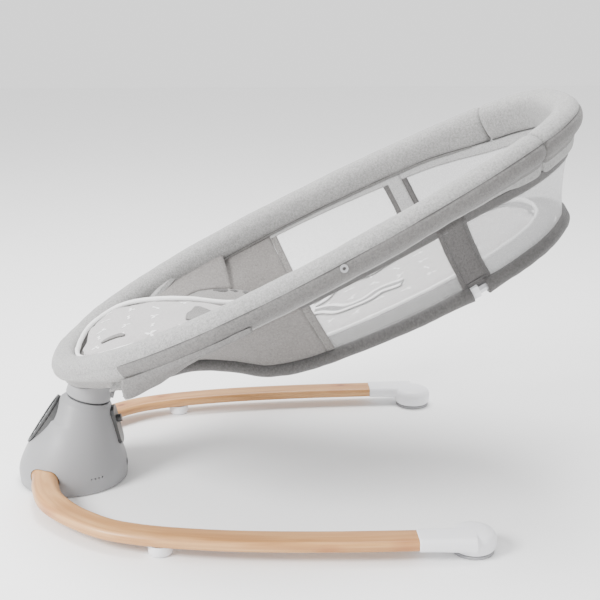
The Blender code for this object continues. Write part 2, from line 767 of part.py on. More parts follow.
def mirrored(points, side):
    return [Vector((point.x, side * point.y, point.z)) for point in points]


def cradle_points(per_span=3):
    """The lower tube's centre line from the hub to the middle of the head end, on the left side."""
    named = [
        Vector((SEAT_LENGTH * u, CRADLE_HALF_WIDTH * v, CRADLE_DEPTH * w)) for u, v, w in CRADLE_LINE
    ]
    return spline_through([CRADLE_EXIT, *named], per_span)


def rim_tube_points(side):
    """From the hub up into the rim and along it to the split near the head."""
    lead = [RIM_EXIT, RIM_TURN_OUT, *rim_points(RIM_JOIN, RIM_SPLIT, 9)]
    return mirrored(spline_through(lead, 2), side)


def head_arc(longer=0.0):
    """The rim's centre line across the head end, from split to split or a little past them."""
    arc = rim_section_points(RIM_SPLIT + SEAM_GAP / SEAT_LENGTH, math.pi, 10)
    arc[0] = arc[0] + (arc[0] - arc[1]).normalized() * longer
    return [*arc[:-2], arc[-1], *mirrored(arc[-3::-1], -1)]


def make_frame_tubes():
    for label, side in SIDES:
        tube(f"{label}_rim_tube", rim_tube_points(side), RIM_TUBE_RADIUS, TUBE_METAL, seat_plane)
    tube("head_rim_tube", head_arc(), RIM_TUBE_RADIUS, TUBE_METAL, seat_plane)
    path = cradle_points()
    split = next(i for i, point in enumerate(path) if point.x > SEAT_LENGTH * CLIP_AT)
    for label, side in SIDES:
        tube(f"{label}_cradle_tube", mirrored(path[:split], side), CRADLE_TUBE_RADIUS, TUBE_METAL, seat_plane)
        middle = (path[split - 1] + path[split]) / 2
        ahead = (path[split] - path[split - 1]).normalized()
        half = ahead * CLIP_HALF_LENGTH
        ends = mirrored([middle - half, middle + half], side)
        clip = tube(f"{label}_tube_clip", ends, CRADLE_TUBE_RADIUS + CLIP_WALL, WHITE_PLASTIC, seat_plane)
        bore = mirrored([middle - ahead * 0.05, middle + ahead * 0.05], side)
        cut(clip, tube(f"{label}_clip_bore", bore, CRADLE_TUBE_RADIUS + 2 * GAP, WHITE_PLASTIC, seat_plane))
    start = path[split - 1].lerp(path[split], 0.08)
    arc = [start, *path[split:]]
    tube("head_cradle_tube", [*arc, *mirrored(arc[-2::-1], -1)], CRADLE_TUBE_RADIUS, TUBE_METAL, seat_plane)


def make_hub():
    """The moulded cross-bar on top of the shaft that holds the four tube ends."""
    low = (HUB_FRONT, -HUB_HALF_WIDTH, HUB_FLOOR)
    high = (HUB_BACK, HUB_HALF_WIDTH, HUB_ROOF)
    hub = box("seat_hub", low, high, DARK_PLASTIC, seat_plane, bevel=0.003)
    far = 0.3
    cut(hub, box("hub_trim", (-far, -far, 0), (far, far, COLLAR_TOP + GAP), DARK_PLASTIC))
    for label, side in SIDES:
        corner = Matrix.Translation((0, side * COLLAR_TOP_RADIUS, COLLAR_TOP + GAP))
        place = corner @ Matrix.Rotation(side * HUB_UNDERCUT, 4, "X")
        span = sorted((0, side * far))
        trim = box(f"{label}_hub_trim", (-far, span[0], -far), (far, span[1], 0), DARK_PLASTIC, place=place)
        cut(hub, trim)
    stem = {"finish": DARK_PLASTIC, "parent": swing_axis, "segments": 24}
    join(hub, cylinder("hub_stem", HUB_STEM_RADIUS, 0.006, HUB_STEM_TOP, **stem))
    cut(hub, cylinder("hub_socket", SHAFT_RADIUS + GAP, -0.05, HUB_SOCKET_TOP, **stem))
    for label, side in SIDES:
        for end, path, radius in (
            ("rim", rim_tube_points(side), RIM_TUBE_RADIUS),
            ("cradle", mirrored(cradle_points(), side), CRADLE_TUBE_RADIUS),
        ):
            back = path[0] + (path[0] - path[1]).normalized() * GAP
            name = f"{label}_{end}_socket"
            cut(hub, tube(name, [back, *path[:4]], radius + RUN_GAP, DARK_PLASTIC, seat_plane))


def make_collar():
    """The round collar over the shaft, and the catch at its back that frees the seat."""
    low = SWING_GAP
    outer = NECK_RADIUS
    profile = [
        (COLLAR_TOP_RADIUS, COLLAR_LENGTH),
        (outer - 0.0004, low + 0.006),
        (outer, low + 0.001),
        (outer - 0.0006, low),
        (outer - COLLAR_WALL, low),
        (COLLAR_TOP_RADIUS - COLLAR_WALL, COLLAR_LENGTH),
    ]
    collar = turned("seat_collar", profile, GREY_PLASTIC, swing_axis, segments=40)
    cut(collar, box("collar_trim", (-0.2, -0.2, COLLAR_TOP), (0.2, 0.2, 0.4), GREY_PLASTIC))
    low_corner = Vector((outer - 0.0065, -0.006, low + CATCH_RISE - 0.004))
    high_corner = Vector((outer + 0.0035, 0.006, low + CATCH_RISE + 0.004))
    room = Vector((0.0065, RUN_GAP, RUN_GAP))
    cut(collar, box("release_slot", low_corner - room, high_corner + room, GREY_PLASTIC, swing_axis))
    box("release_button", low_corner, high_corner, GREY_PLASTIC, swing_axis, bevel=0.0008)


# ---------------------------------------------------------------- seat soft goods


def roll_outline(count=12):
    """The padded rim's section: round above its middle and deeper below."""
    outline = []
    for i in range(count):
        turn = 2 * math.pi * i / count
        height = RIM_ROLL_ABOVE if math.sin(turn) >= 0 else RIM_ROLL_BELOW
        outline.append((RIM_ROLL_WIDTH / 2 * math.cos(turn), height * math.sin(turn)))
    return outline


def make_rim_pads():
    gap = SEAM_GAP / SEAT_LENGTH
    for label, side in SIDES:
        path = mirrored(rim_section_points(FOOT_SPLIT + gap, RIM_SPLIT - gap, 12), side)
        pad = sweep(f"{label}_rim_pad", path, roll_outline(), GREY_FABRIC, seat_plane)
        cut(pad, tube(f"{label}_pad_bore", rim_tube_points(side), RIM_TUBE_RADIUS + GAP, GREY_FABRIC, seat_plane))
    pad = sweep("head_rim_pad", head_arc(), roll_outline(), GREY_FABRIC, seat_plane)
    cut(pad, tube("head_pad_bore", head_arc(0.01), RIM_TUBE_RADIUS + GAP, GREY_FABRIC, seat_plane))
    arc = rim_section_points(0, FOOT_SPLIT - gap, 9)
    whole = [*mirrored(arc[:1:-1], -1), arc[0], *arc[2:]]
    pad = sweep("foot_rim_pad", whole, roll_outline(), GREY_FABRIC, seat_plane)
    for label, side in SIDES:
        cut(pad, tube(f"{label}_foot_bore", rim_tube_points(side), RIM_TUBE_RADIUS + GAP, GREY_FABRIC, seat_plane))


def foot_cover_section(v):
    """One slice of the fabric cover below the foot of the rim, in the plane across v."""
    share = abs(v) / COVER_HALF_WIDTH
    front = rim_front(abs(v))
    back = COVER_BACK + 0.012 * share
    roof = -RIM_ROLL_BELOW - GAP
    low = COLLAR_TOP + 0.001 + 0.022 * share**2
    return [
        (front + 0.002, v, roof),
        (front - 0.006, v, (roof + seat_w(front, low)) / 2),
        (front + 0.004, v, seat_w(front + 0.004, low)),
        ((front + back) / 2, v, seat_w((front + back) / 2, low)),
        (back - 0.016, v, seat_w(back - 0.016, low)),
        (back - 0.004, v, seat_w(back - 0.016, low) + 0.006),
        (back, v, roof - 0.012),
        (back - 0.006, v, roof),
    ]


def seat_w(u, height):
    """The w of a point of the seat's plane frame at a height above the floor."""
    return (height - FOOT_HEIGHT - u * math.sin(SEAT_SLOPE)) / math.cos(SEAT_SLOPE)


def rim_front(v):
    """How far along the slope the rim's centre line is at a distance from the middle, near the foot."""
    for i in range(1, 200):
        point = rim_point(math.pi / 2 * i / 200)
        if point.y >= v:
            return point.x
    return 0.0


def make_foot_cover():
    steps = 14
    rings = [foot_cover_section(COVER_HALF_WIDTH * (2 * i / steps - 1)) for i in range(steps + 1)]
    cover = loft("foot_cover", rings, GREY_FABRIC, seat_plane)
    low = (HUB_FRONT - GAP, -HUB_HALF_WIDTH - GAP, HUB_FLOOR - 0.02)
    high = (HUB_BACK + GAP, HUB_HALF_WIDTH + GAP, HUB_ROOF + GAP)
    cut(cover, box("hub_room", low, high, GREY_FABRIC, seat_plane))
    room = {"finish": GREY_FABRIC, "parent": swing_axis, "segments": 24}
    cut(cover, cylinder("stem_room", HUB_STEM_RADIUS + GAP, -0.01, HUB_STEM_TOP + GAP, **room))
    for label, side in SIDES:
        lower = mirrored(cradle_points(), side)
        cut(
            cover,
            tube(f"{label}_rim_room", rim_tube_points(side), RIM_TUBE_RADIUS + GAP, GREY_FABRIC, seat_plane),
            tube(f"{label}_cradle_room", lower, CRADLE_TUBE_RADIUS + GAP, GREY_FABRIC, seat_plane),
        )


def wall_rows(start, end, count, rows=4):
    """Points of the fabric wall between the rim pad and the lower tube, on the left side."""
    path = cradle_points(6)
    first = next(i for i, point in enumerate(path) if point.x > SEAT_LENGTH * 0.225)
    found = []
    for i in range(count):
        turn = start + (end - start) * i / (count - 1)
        share = (turn - WALL_START) / (math.pi - WALL_START)
        place = first + share**0.85 * (len(path) - 1 - first)
        low = min(int(place), len(path) - 2)
        foot = path[low].lerp(path[low + 1], place - low)
        foot = foot + Vector((0, 0, 1.4 * (CRADLE_TUBE_RADIUS + CLIP_WALL + WALL_THICKNESS / 2)))
        head = rim_point(turn)
        head.z = -RIM_ROLL_BELOW - WALL_THICKNESS / 2 - GAP
        found.append([head.lerp(foot, j / (rows - 1)) for j in range(rows)])
    return found


def make_walls():
    for label, side in SIDES:
        gap = GAP / (SEAT_LENGTH / 2)
        rows = [mirrored(row, side) for row in wall_rows(WALL_START, WALL_SPLIT - gap, 12)]
        sheet(f"{label}_side_wall", rows, WALL_THICKNESS, GREY_FABRIC, seat_plane)
    rows = wall_rows(WALL_SPLIT + gap, math.pi, 8)
    whole = [*rows, *[mirrored(row, -1) for row in rows[-2::-1]]]
    sheet("head_wall", whole, WALL_THICKNESS, GREY_FABRIC, seat_plane)


def seat_line(pairs, depth, per_span):
    """A smooth line along the seat from pairs given as shares of its length and of a depth or half width."""
    return spline_through([(SEAT_LENGTH * u, depth * share) for u, share in pairs], per_span)


FLOOR_PROFILE = seat_line(FLOOR_LINE, CRADLE_DEPTH, 4)
FLOOR_OUTLINE = seat_line(FLOOR_EDGE, CRADLE_HALF_WIDTH, 3)
INSERT_OUTLINE = seat_line(INSERT_EDGE, CRADLE_HALF_WIDTH, 3)


def lying_surface(u, share, half):
    """The middle of the seat floor at a place along the slope and a share of its half width."""
    sag = FLOOR_SAG * (1 - share**2) * min(1, u / (0.3 * SEAT_LENGTH))
    return Vector((u, share * half, height_at(FLOOR_PROFILE, u) - sag))


def lying_normal(u, step=0.004):
    rise = height_at(FLOOR_PROFILE, u + step) - height_at(FLOOR_PROFILE, u - step)
    return Vector((-rise, 0, 2 * step)).normalized()


def insert_top(u):
    """The height of the insert pad's upper face on the middle line."""
    line = []
    for i in range(60):
        place = SEAT_LENGTH * (0.1 + 0.7 * i / 59)
        point = lying_surface(place, 0, 0) + lying_normal(place) * INSERT_TOP
        line.append((point.x, point.z))
    return height_at(line, u)


def surface_rows(outline, lift, across=5):
    start, end = outline[0][0], outline[-1][0]
    rows = []
    stations = [SEAT_LENGTH * share for share in SURFACE_STATIONS]
    for u in (start, *[u for u in stations if start + 0.01 < u < end - 0.01], end):
        half = height_at(outline, u)
        shares = [2 * j / (across - 1) - 1 for j in range(across)]
        normal = lying_normal(u)
        rows.append([lying_surface(u, share, half) + normal * lift for share in shares])
    return rows


def make_floor_and_insert():
    sheet("seat_floor", surface_rows(FLOOR_OUTLINE, 0), FLOOR_THICKNESS, DARK_FABRIC, seat_plane)
    sheet("insert_pad", surface_rows(INSERT_OUTLINE, INSERT_LIFT), INSERT_THICKNESS, PAD_FABRIC, seat_plane)


def make_eyelets():
    for label, side in SIDES:
        point = rim_point(EYELET_TURN)
        out = RIM_ROLL_WIDTH / 2
        place = facing((point.x, side * (point.y + out + GAP), EYELET_HEIGHT), (0, side, 0))
        name = f"{label}_eyelet"
        ring(name, EYELET_BORE_RADIUS, EYELET_RADIUS, 0, 0.0016, WHITE_PLASTIC, seat_plane, place, 20)


def make_harness():
    """A crotch strap, two waist straps and the buckle that joins them above the insert pad."""
    wide, long, tall = BUCKLE_SIZE
    top = insert_top(BUCKLE_AT) + BUCKLE_LIFT
    low = Vector((BUCKLE_AT - long / 2, -wide / 2, top))
    buckle = box("buckle", low, low + Vector((long, wide, tall)), WHITE_PLASTIC, seat_plane, bevel=0.002)
    button = {"finish": WHITE_PLASTIC, "parent": seat_plane, "segments": 24}
    button["place"] = Matrix.Translation((BUCKLE_AT, 0, top + tall))
    cut(buckle, cylinder("buckle_well", BUCKLE_BUTTON_RADIUS + RUN_GAP, -0.005, 0.01, **button))
    cylinder("buckle_button", BUCKLE_BUTTON_RADIUS, -0.003, 0.0012, **button)
    outline = rounded_rectangle(STRAP_WIDTH, STRAP_THICKNESS, STRAP_THICKNESS * 0.4, per_corner=2)
    middle = top + tall / 2
    near = BUCKLE_AT - long / 2 - GAP
    root = CROTCH_STRAP_ROOT * SEAT_LENGTH
    floor = insert_top(root) + STRAP_THICKNESS + STRAP_LIFT
    lead = Vector((0.004, 0, 0))
    end = Vector((near, 0, middle))
    points = spline_through([(root, 0, floor), (root + 0.012, 0, floor + 0.010), end - 2 * lead, end - lead], 3)
    sweep("crotch_strap", [*points, end], outline, WEBBING, seat_plane)
    for label, side in SIDES:
        far = WAIST_STRAP_END * CRADLE_HALF_WIDTH
        floor = insert_top(BUCKLE_AT) + FLOOR_SAG + STRAP_THICKNESS + STRAP_LIFT
        start = Vector((BUCKLE_AT, side * (wide / 2 + 2 * GAP), middle))
        lead = Vector((0, side * 0.005, 0))
        stops = ((far - 0.032, floor + 0.012), (far, floor))
        path = [start + lead, start + 2 * lead, *((BUCKLE_AT, side * v, w) for v, w in stops)]
        points = spline_through(path, 3)
        sweep(f"{label}_waist_strap", [start, *points], outline, WEBBING, seat_plane)


make_housing()
make_underside()
make_controls()
make_drive()
make_legs()
make_frame_tubes()
make_hub()
make_collar()
make_rim_pads()
make_foot_cover()
make_walls()
make_floor_and_insert()
make_eyelets()
make_harness()
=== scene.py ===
import math

import bmesh
import bpy
from mathutils import Matrix, Vector, noise
from mathutils.bvhtree import BVHTree


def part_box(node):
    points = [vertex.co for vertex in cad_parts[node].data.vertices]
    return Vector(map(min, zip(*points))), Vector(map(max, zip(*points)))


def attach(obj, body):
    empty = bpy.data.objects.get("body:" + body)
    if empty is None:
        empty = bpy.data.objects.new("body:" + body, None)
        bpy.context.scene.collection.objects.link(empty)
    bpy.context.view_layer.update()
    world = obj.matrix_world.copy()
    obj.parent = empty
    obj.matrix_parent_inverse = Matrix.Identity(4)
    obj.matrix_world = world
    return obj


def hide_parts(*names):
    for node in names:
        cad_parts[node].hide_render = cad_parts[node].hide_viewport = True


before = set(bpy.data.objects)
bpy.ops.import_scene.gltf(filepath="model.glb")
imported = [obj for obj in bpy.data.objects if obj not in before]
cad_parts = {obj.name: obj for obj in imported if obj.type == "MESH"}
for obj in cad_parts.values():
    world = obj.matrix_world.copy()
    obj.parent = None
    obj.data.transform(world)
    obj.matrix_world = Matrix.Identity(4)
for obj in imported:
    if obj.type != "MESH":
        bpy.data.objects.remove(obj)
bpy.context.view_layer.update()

# ---------------------------------------------------------------- sizes, in metres

SIDES = (("left", 1), ("right", -1))
SEAT_SLOPE = math.radians(27)
FOOT_HEIGHT = 0.1795
AXIS_TILT = math.radians(15)
NECK_CENTRE = Vector((0.025, 0.0, 0.1195))
SEAT = Matrix.Translation((0, 0, FOOT_HEIGHT)) @ Matrix.Rotation(-SEAT_SLOPE, 4, "Y")
SWING = Matrix.Translation(NECK_CENTRE) @ Matrix.Rotation(AXIS_TILT, 4, "Y")

SEAT_LENGTH = 0.753
SEAT_WIDTH = 0.446
ROLL_HALF = 0.019
ROLL_ABOVE = 0.0195
ROLL_BELOW = 0.0190
FOOT_DEEPER = 0.0060
FOOT_FLATTER = 0.0080
BAND_START = math.radians(46)
CRADLE_DEPTH = 0.128
CRADLE_HALF = 0.162

WINDOW = {"left": (0.322, 0.504, 0.544), "right": (0.348, 0.524, 0.563)}
WALL_START = 0.172
HEAD_TURN_START = 0.600
BINDING_WIDTH = 0.010

# ---------------------------------------------------------------- camera, light and floor

CAMERA_PLACE = (0.2417, -1.4738, 0.6839)
CAMERA_TILT = math.radians(73.847)
CAMERA_TURN = math.radians(-3.237)
CAMERA_LENS = 66.2
CAMERA_SENSOR = 36.0
SKY_STRENGTH = 1.45
LIGHTS = (("key_light", (-1.6, -1.1, 1.6), 1.0, 118), ("top_light", (0.3, 0.5, 2.4), 1.4, 80))
LIGHT_AIM = Vector((0.3, 0, 0.2))
FLOOR_SIZE = 12
FLOOR_PLACE = (0.3, 0, -0.0004)
FLOOR_COLOUR = (0.93, 0.93, 0.93, 1)


def make_stage():
    """The camera of the photo, a white sky, two soft lights and a pale floor."""
    lens = bpy.data.cameras.new("camera")
    lens.lens = CAMERA_LENS
    lens.sensor_width = CAMERA_SENSOR
    camera = bpy.data.objects.new("camera", lens)
    camera.location = CAMERA_PLACE
    camera.rotation_euler = (CAMERA_TILT, 0, CAMERA_TURN)
    bpy.context.scene.collection.objects.link(camera)
    bpy.context.scene.camera = camera

    world = bpy.data.worlds.new("studio")
    world.use_nodes = True
    sky = world.node_tree.nodes["Background"]
    sky.inputs["Color"].default_value = (1.0, 1.0, 1.0, 1.0)
    sky.inputs["Strength"].default_value = SKY_STRENGTH
    bpy.context.scene.world = world
    for name, place, size, power in LIGHTS:
        soft_light(name, place, size, power)

    bpy.ops.mesh.primitive_plane_add(size=FLOOR_SIZE, location=FLOOR_PLACE)
    floor = bpy.context.object
    floor.name = "floor"
    pale = bpy.data.materials.new("pale_floor")
    pale.use_nodes = True
    shader = pale.node_tree.nodes["Principled BSDF"]
    shader.inputs["Base Color"].default_value = FLOOR_COLOUR
    shader.inputs["Roughness"].default_value = 0.7
    floor.data.materials.append(pale)


def soft_light(name, place, size, power):
    """A round area light that faces the middle of the object."""
    light = bpy.data.lights.new(name, "AREA")
    light.shape = "DISK"
    light.size = size
    light.energy = power
    lamp = bpy.data.objects.new(name, light)
    lamp.location = place
    aim = LIGHT_AIM - Vector(place)
    lamp.rotation_euler = aim.to_track_quat("-Z", "Y").to_euler()
    bpy.context.scene.collection.objects.link(lamp)


make_stage()

# ---------------------------------------------------------------- material helpers


class Look:
    """One procedural material: a Principled shader and the nodes that feed it."""

    def __init__(self, name, roughness, metallic=0.0, sheen=0.0, coat=0.0):
        self.made = bpy.data.materials.new(name)
        self.made.use_nodes = True
        self.tree = self.made.node_tree
        self.shader = self.tree.nodes["Principled BSDF"]
        self.shader.inputs["Roughness"].default_value = roughness
        self.shader.inputs["Metallic"].default_value = metallic
        self.shader.inputs["Sheen Weight"].default_value = sheen
        self.shader.inputs["Sheen Roughness"].default_value = 0.5
        self.shader.inputs["Coat Weight"].default_value = coat
        self.shader.inputs["Coat Roughness"].default_value = 0.12
        self.coords = None

    def node(self, kind, **values):
        made = self.tree.nodes.new(kind)
        for key, value in values.items():
            setattr(made, key, value)
        return made

    def join(self, source, target):
        self.tree.links.new(source, target)

    def place(self, attribute=None):
        """Object coordinates turned into the seat's plane, or a vector attribute of the mesh."""
        if attribute:
            return self.node("ShaderNodeAttribute", attribute_name=attribute).outputs["Vector"]
        if self.coords is None:
            source = self.node("ShaderNodeTexCoord").outputs["Object"]
            turn = self.node("ShaderNodeMapping")
            turn.inputs["Rotation"].default_value = (0, SEAT_SLOPE, 0)
            self.join(source, turn.inputs["Vector"])
            self.coords = turn.outputs["Vector"]
        return self.coords

    def stretched(self, scale, attribute=None):
        turn = self.node("ShaderNodeMapping")
        turn.inputs["Scale"].default_value = scale
        self.join(self.place(attribute), turn.inputs["Vector"])
        return turn.outputs["Vector"]

    def noise(self, scale, detail=2.0, coords=None, distortion=0.0):
        made = self.node("ShaderNodeTexNoise")
        made.inputs["Scale"].default_value = scale
        made.inputs["Detail"].default_value = detail
        made.inputs["Distortion"].default_value = distortion
        self.join(coords or self.place(), made.inputs["Vector"])
        return made.outputs["Fac"]

    def cells(self, scale, feature="F1", coords=None):
        made = self.node("ShaderNodeTexVoronoi", feature=feature)
        made.inputs["Scale"].default_value = scale
        self.join(coords or self.place(), made.inputs["Vector"])
        return made.outputs["Distance"]

    def waves(self, scale, direction, coords=None, distortion=0.0):
        made = self.node("ShaderNodeTexWave", bands_direction=direction)
        made.inputs["Scale"].default_value = scale
        made.inputs["Distortion"].default_value = distortion
        self.join(coords or self.place(), made.inputs["Vector"])
        return made.outputs["Fac"]

    def weave(self, scale):
        """Crossed threads on all three planes of the seat's frame."""
        threads = [self.waves(scale, axis) for axis in "XYZ"]
        return self.math("ADD", self.math("ADD", threads[0], threads[1]), threads[2])

    def math(self, operation, first, second):
        made = self.node("ShaderNodeMath", operation=operation)
        for socket, value in zip(made.inputs, (first, second)):
            if isinstance(value, (int, float)):
                socket.default_value = value
            else:
                self.join(value, socket)
        return made.outputs[0]

    def ramp(self, factor, *stops):
        made = self.node("ShaderNodeValToRGB")
        elements = made.color_ramp.elements
        while len(elements) < len(stops):
            elements.new(0.5)
        for element, (place, value) in zip(elements, stops):
            element.position = place
            element.color = (value, value, value, 1) if isinstance(value, float) else (*value, 1)
        self.join(factor, made.inputs["Fac"])
        return made.outputs["Color"]

    def blend(self, factor, first, second, mode="MIX"):
        made = self.node("ShaderNodeMix", data_type="RGBA", blend_type=mode)
        sockets = [socket for socket in made.inputs if socket.type == "RGBA"]
        if isinstance(factor, (int, float)):
            made.inputs[0].default_value = factor
        else:
            self.join(factor, made.inputs[0])
        for socket, value in zip(sockets, (first, second)):
            if isinstance(value, tuple):
                socket.default_value = (*value, 1)
            else:
                self.join(value, socket)
        return [socket for socket in made.outputs if socket.type == "RGBA"][0]

    def lighter_edges(self, colour, strength=0.06):
        """Edges a little lighter than the faces."""
        bend = self.node("ShaderNodeNewGeometry").outputs["Pointiness"]
        return self.blend(self.ramp(bend, (0.53, 0.0), (0.62, strength)), colour, (1.0, 1.0, 1.0))

    def colour(self, value):
        if isinstance(value, tuple):
            self.shader.inputs["Base Color"].default_value = (*value, 1)
        else:
            self.join(value, self.shader.inputs["Base Color"])

    def rough(self, factor, low, high):
        self.join(self.ramp(factor, (0.3, low), (0.7, high)), self.shader.inputs["Roughness"])

    def bump(self, *layers):
        """Each layer is a height, a strength and a depth in metres."""
        below = None
        for height, strength, depth in layers:
            made = self.node("ShaderNodeBump")
            made.inputs["Strength"].default_value = strength
            made.inputs["Distance"].default_value = depth
            self.join(height, made.inputs["Height"])
            if below is not None:
                self.join(below, made.inputs["Normal"])
            below = made.outputs["Normal"]
        self.join(below, self.shader.inputs["Normal"])


def melange(name, light, dark, weave=620.0, sheen=0.25):
    """Heathered cloth: pale and dark fibres spun together in a fine weave."""
    look = Look(name, 0.92, sheen=sheen)
    fibres = look.noise(1.0, 3, look.stretched((260, 620, 620)))
    cross = look.noise(1.0, 3, look.stretched((640, 240, 280)))
    slubs = look.noise(95, 3)
    mixed = look.math("MULTIPLY", look.math("ADD", fibres, cross), 0.5)
    base = look.ramp(mixed, (0.36, dark), (0.62, light))
    middle = tuple((a + b) / 2 for a, b in zip(light, dark))
    toned = look.blend(0.30, base, middle)
    drift = look.ramp(look.noise(11, 2), (0.3, 0.93), (0.7, 1.0))
    shaded = look.blend(1.0, toned, drift, "MULTIPLY")
    look.colour(look.blend(look.ramp(slubs, (0.60, 0.0), (0.76, 0.30)), shaded, light))
    look.bump((look.weave(weave), 0.32, 0.0004), (look.noise(38, 3), 0.25, 0.0012))
    return look.made


def moulded(name, colour, roughness, coat=0.0, grain=1500.0, depth=0.00008):
    """Injection-moulded plastic with a fine spark-eroded grain."""
    look = Look(name, roughness, coat=coat)
    tone = look.ramp(look.noise(18, 2), (0.3, tuple(c * 0.97 for c in colour)), (0.7, colour))
    look.colour(look.lighter_edges(tone))
    look.rough(look.noise(60, 4), roughness - 0.05, roughness + 0.07)
    look.bump((look.noise(grain, 2), 0.25, depth))
    return look.made


def rubber(name, colour):
    """Matt rubber with a fine uneven face."""
    look = Look(name, 0.78)
    look.colour(look.ramp(look.noise(240, 4), (0.3, tuple(c * 0.8 for c in colour)), (0.75, colour)))
    look.bump((look.noise(900, 3), 0.4, 0.0002))
    return look.made


def metal(name, colour, roughness, direction):
    """Bare metal with fine drawn lines; direction is how dense they are along X, Y and Z."""
    look = Look(name, roughness, metallic=1.0)
    lines = look.noise(1.0, 4, look.stretched(direction))
    look.colour(look.ramp(lines, (0.3, tuple(c * 0.86 for c in colour)), (0.7, colour)))
    look.rough(lines, roughness - 0.07, roughness + 0.12)
    look.bump((lines, 0.15, 0.00005))
    return look.made


def wood(name):
    """Pale printed wood grain that follows the leg, with a few reddish knots."""
    look = Look(name, 0.42, coat=0.12)
    along = look.stretched((7, 95, 95), "grain")
    streaks = look.noise(1.0, 5, along, distortion=0.6)
    rings = look.waves(1.0, "Z", look.stretched((2.4, 26, 38), "grain"), distortion=5.0)
    pores = look.noise(1.0, 2, look.stretched((60, 1400, 1400), "grain"))
    base = look.ramp(
        streaks, (0.28, (0.36, 0.165, 0.050)), (0.5, (0.50, 0.255, 0.092)), (0.72, (0.62, 0.355, 0.150))
    )
    ringed = look.blend(look.ramp(rings, (0.35, 0.0), (0.95, 0.34)), base, (0.36, 0.160, 0.052))
    spot = look.cells(1.0, coords=look.stretched((13, 30, 26), "grain"))
    halo = look.blend(look.ramp(spot, (0.10, 0.62), (0.34, 0.0)), ringed, (0.34, 0.120, 0.040))
    knots = look.blend(look.ramp(spot, (0.04, 0.85), (0.11, 0.0)), halo, (0.15, 0.045, 0.020))
    look.colour(look.blend(look.ramp(pores, (0.62, 0.0), (0.8, 0.22)), knots, (0.20, 0.085, 0.032)))
    look.rough(streaks, 0.38, 0.5)
    look.bump((pores, 0.12, 0.0001), (streaks, 0.08, 0.0003))
    return look.made


def pad_cloth(name):
    """Soft brushed cotton, off-white and slightly warm."""
    look = Look(name, 0.95, sheen=0.35)
    nap = look.noise(330, 4)
    base = look.ramp(nap, (0.3, (0.36, 0.345, 0.342)), (0.7, (0.46, 0.443, 0.440)))
    clouds = look.ramp(look.noise(17, 2), (0.35, 0.0), (0.7, 0.35))
    look.colour(look.blend(clouds, base, (0.40, 0.388, 0.388)))
    look.bump(
        (look.weave(900), 0.25, 0.0003),
        (look.noise(75, 3), 0.35, 0.0012),
        (look.noise(24, 2), 0.25, 0.003),
    )
    return look.made


def spacer_mesh(name, light, dark, scale=560.0):
    """Knitted 3-D mesh: rows of small dark holes in a pale face."""
    look = Look(name, 0.88, sheen=0.2)
    holes = look.cells(scale)
    rows = look.weave(scale * 0.5)
    base = look.ramp(holes, (0.22, dark), (0.46, light))
    look.colour(look.blend(look.ramp(rows, (0.8, 0.0), (1.9, 0.25)), base, light))
    look.bump((holes, 0.6, 0.0008))
    return look.made


def net(name, colour, open_share, scale=620.0):
    """See-through knitted net: threads round small holes."""
    look = Look(name, 0.8, sheen=0.2)
    holes = look.cells(scale, "DISTANCE_TO_EDGE")
    look.colour(look.ramp(holes, (0.02, colour), (0.2, tuple(c * 0.9 for c in colour))))
    cover = look.ramp(holes, (0.04, 1.0 - open_share * 0.72), (0.14, 1.0 - open_share))
    look.join(cover, look.shader.inputs["Alpha"])
    look.bump((holes, 0.3, 0.0003))
    return look.made


def tape(name, colour, ribs=900.0):
    """Woven binding tape or webbing."""
    look = Look(name, 0.85, sheen=0.2)
    ribbing = look.weave(ribs)
    look.colour(look.ramp(ribbing, (0.4, tuple(c * 0.90 for c in colour)), (1.8, colour)))
    look.bump((ribbing, 0.45, 0.0004), (look.noise(160, 2), 0.3, 0.0006))
    return look.made


def circuit(name):
    """Green lacquered board with thin pale tracks."""
    look = Look(name, 0.45, coat=0.4)
    tracks = look.waves(260, "X", distortion=3.0)
    base = look.ramp(look.noise(60, 2), (0.3, (0.02, 0.12, 0.05)), (0.7, (0.03, 0.19, 0.08)))
    look.colour(look.blend(look.ramp(tracks, (0.86, 0.0), (0.93, 0.6)), base, (0.10, 0.34, 0.14)))
    look.bump((tracks, 0.2, 0.0001))
    return look.made


RIM_CLOTH = melange("rim_cloth", (0.40, 0.396, 0.389), (0.185, 0.183, 0.179))
# A darker copy of the rim cloth: on the roll's band and the skirts its darkness is painted shade; the flaps
# on the pad use it as their own grey.
BAND_SHADE_AND_FLAP_CLOTH = melange("band_shade_and_flap_cloth", (0.200, 0.193, 0.188), (0.100, 0.096, 0.093))
WALL_CLOTH = melange("wall_cloth", (0.225, 0.212, 0.203), (0.120, 0.112, 0.106))
# Dark cloth of the tube sleeves; on the outer hem its darkness is painted shade under the rim.
DARK_CLOTH_AND_HEM_SHADE = melange("dark_cloth_and_hem_shade", (0.115, 0.110, 0.108), (0.052, 0.050, 0.049))
STRAP_CLOTH = melange("strap_cloth", (0.120, 0.113, 0.111), (0.055, 0.052, 0.051))
PAD_CLOTH = pad_cloth("pad_cloth")
PIPING = tape("white_binding", (0.86, 0.855, 0.85))
PRINT = tape("leaf_print", (0.92, 0.92, 0.915), 1300.0)
WEBBING = tape("white_webbing", (0.84, 0.84, 0.84))
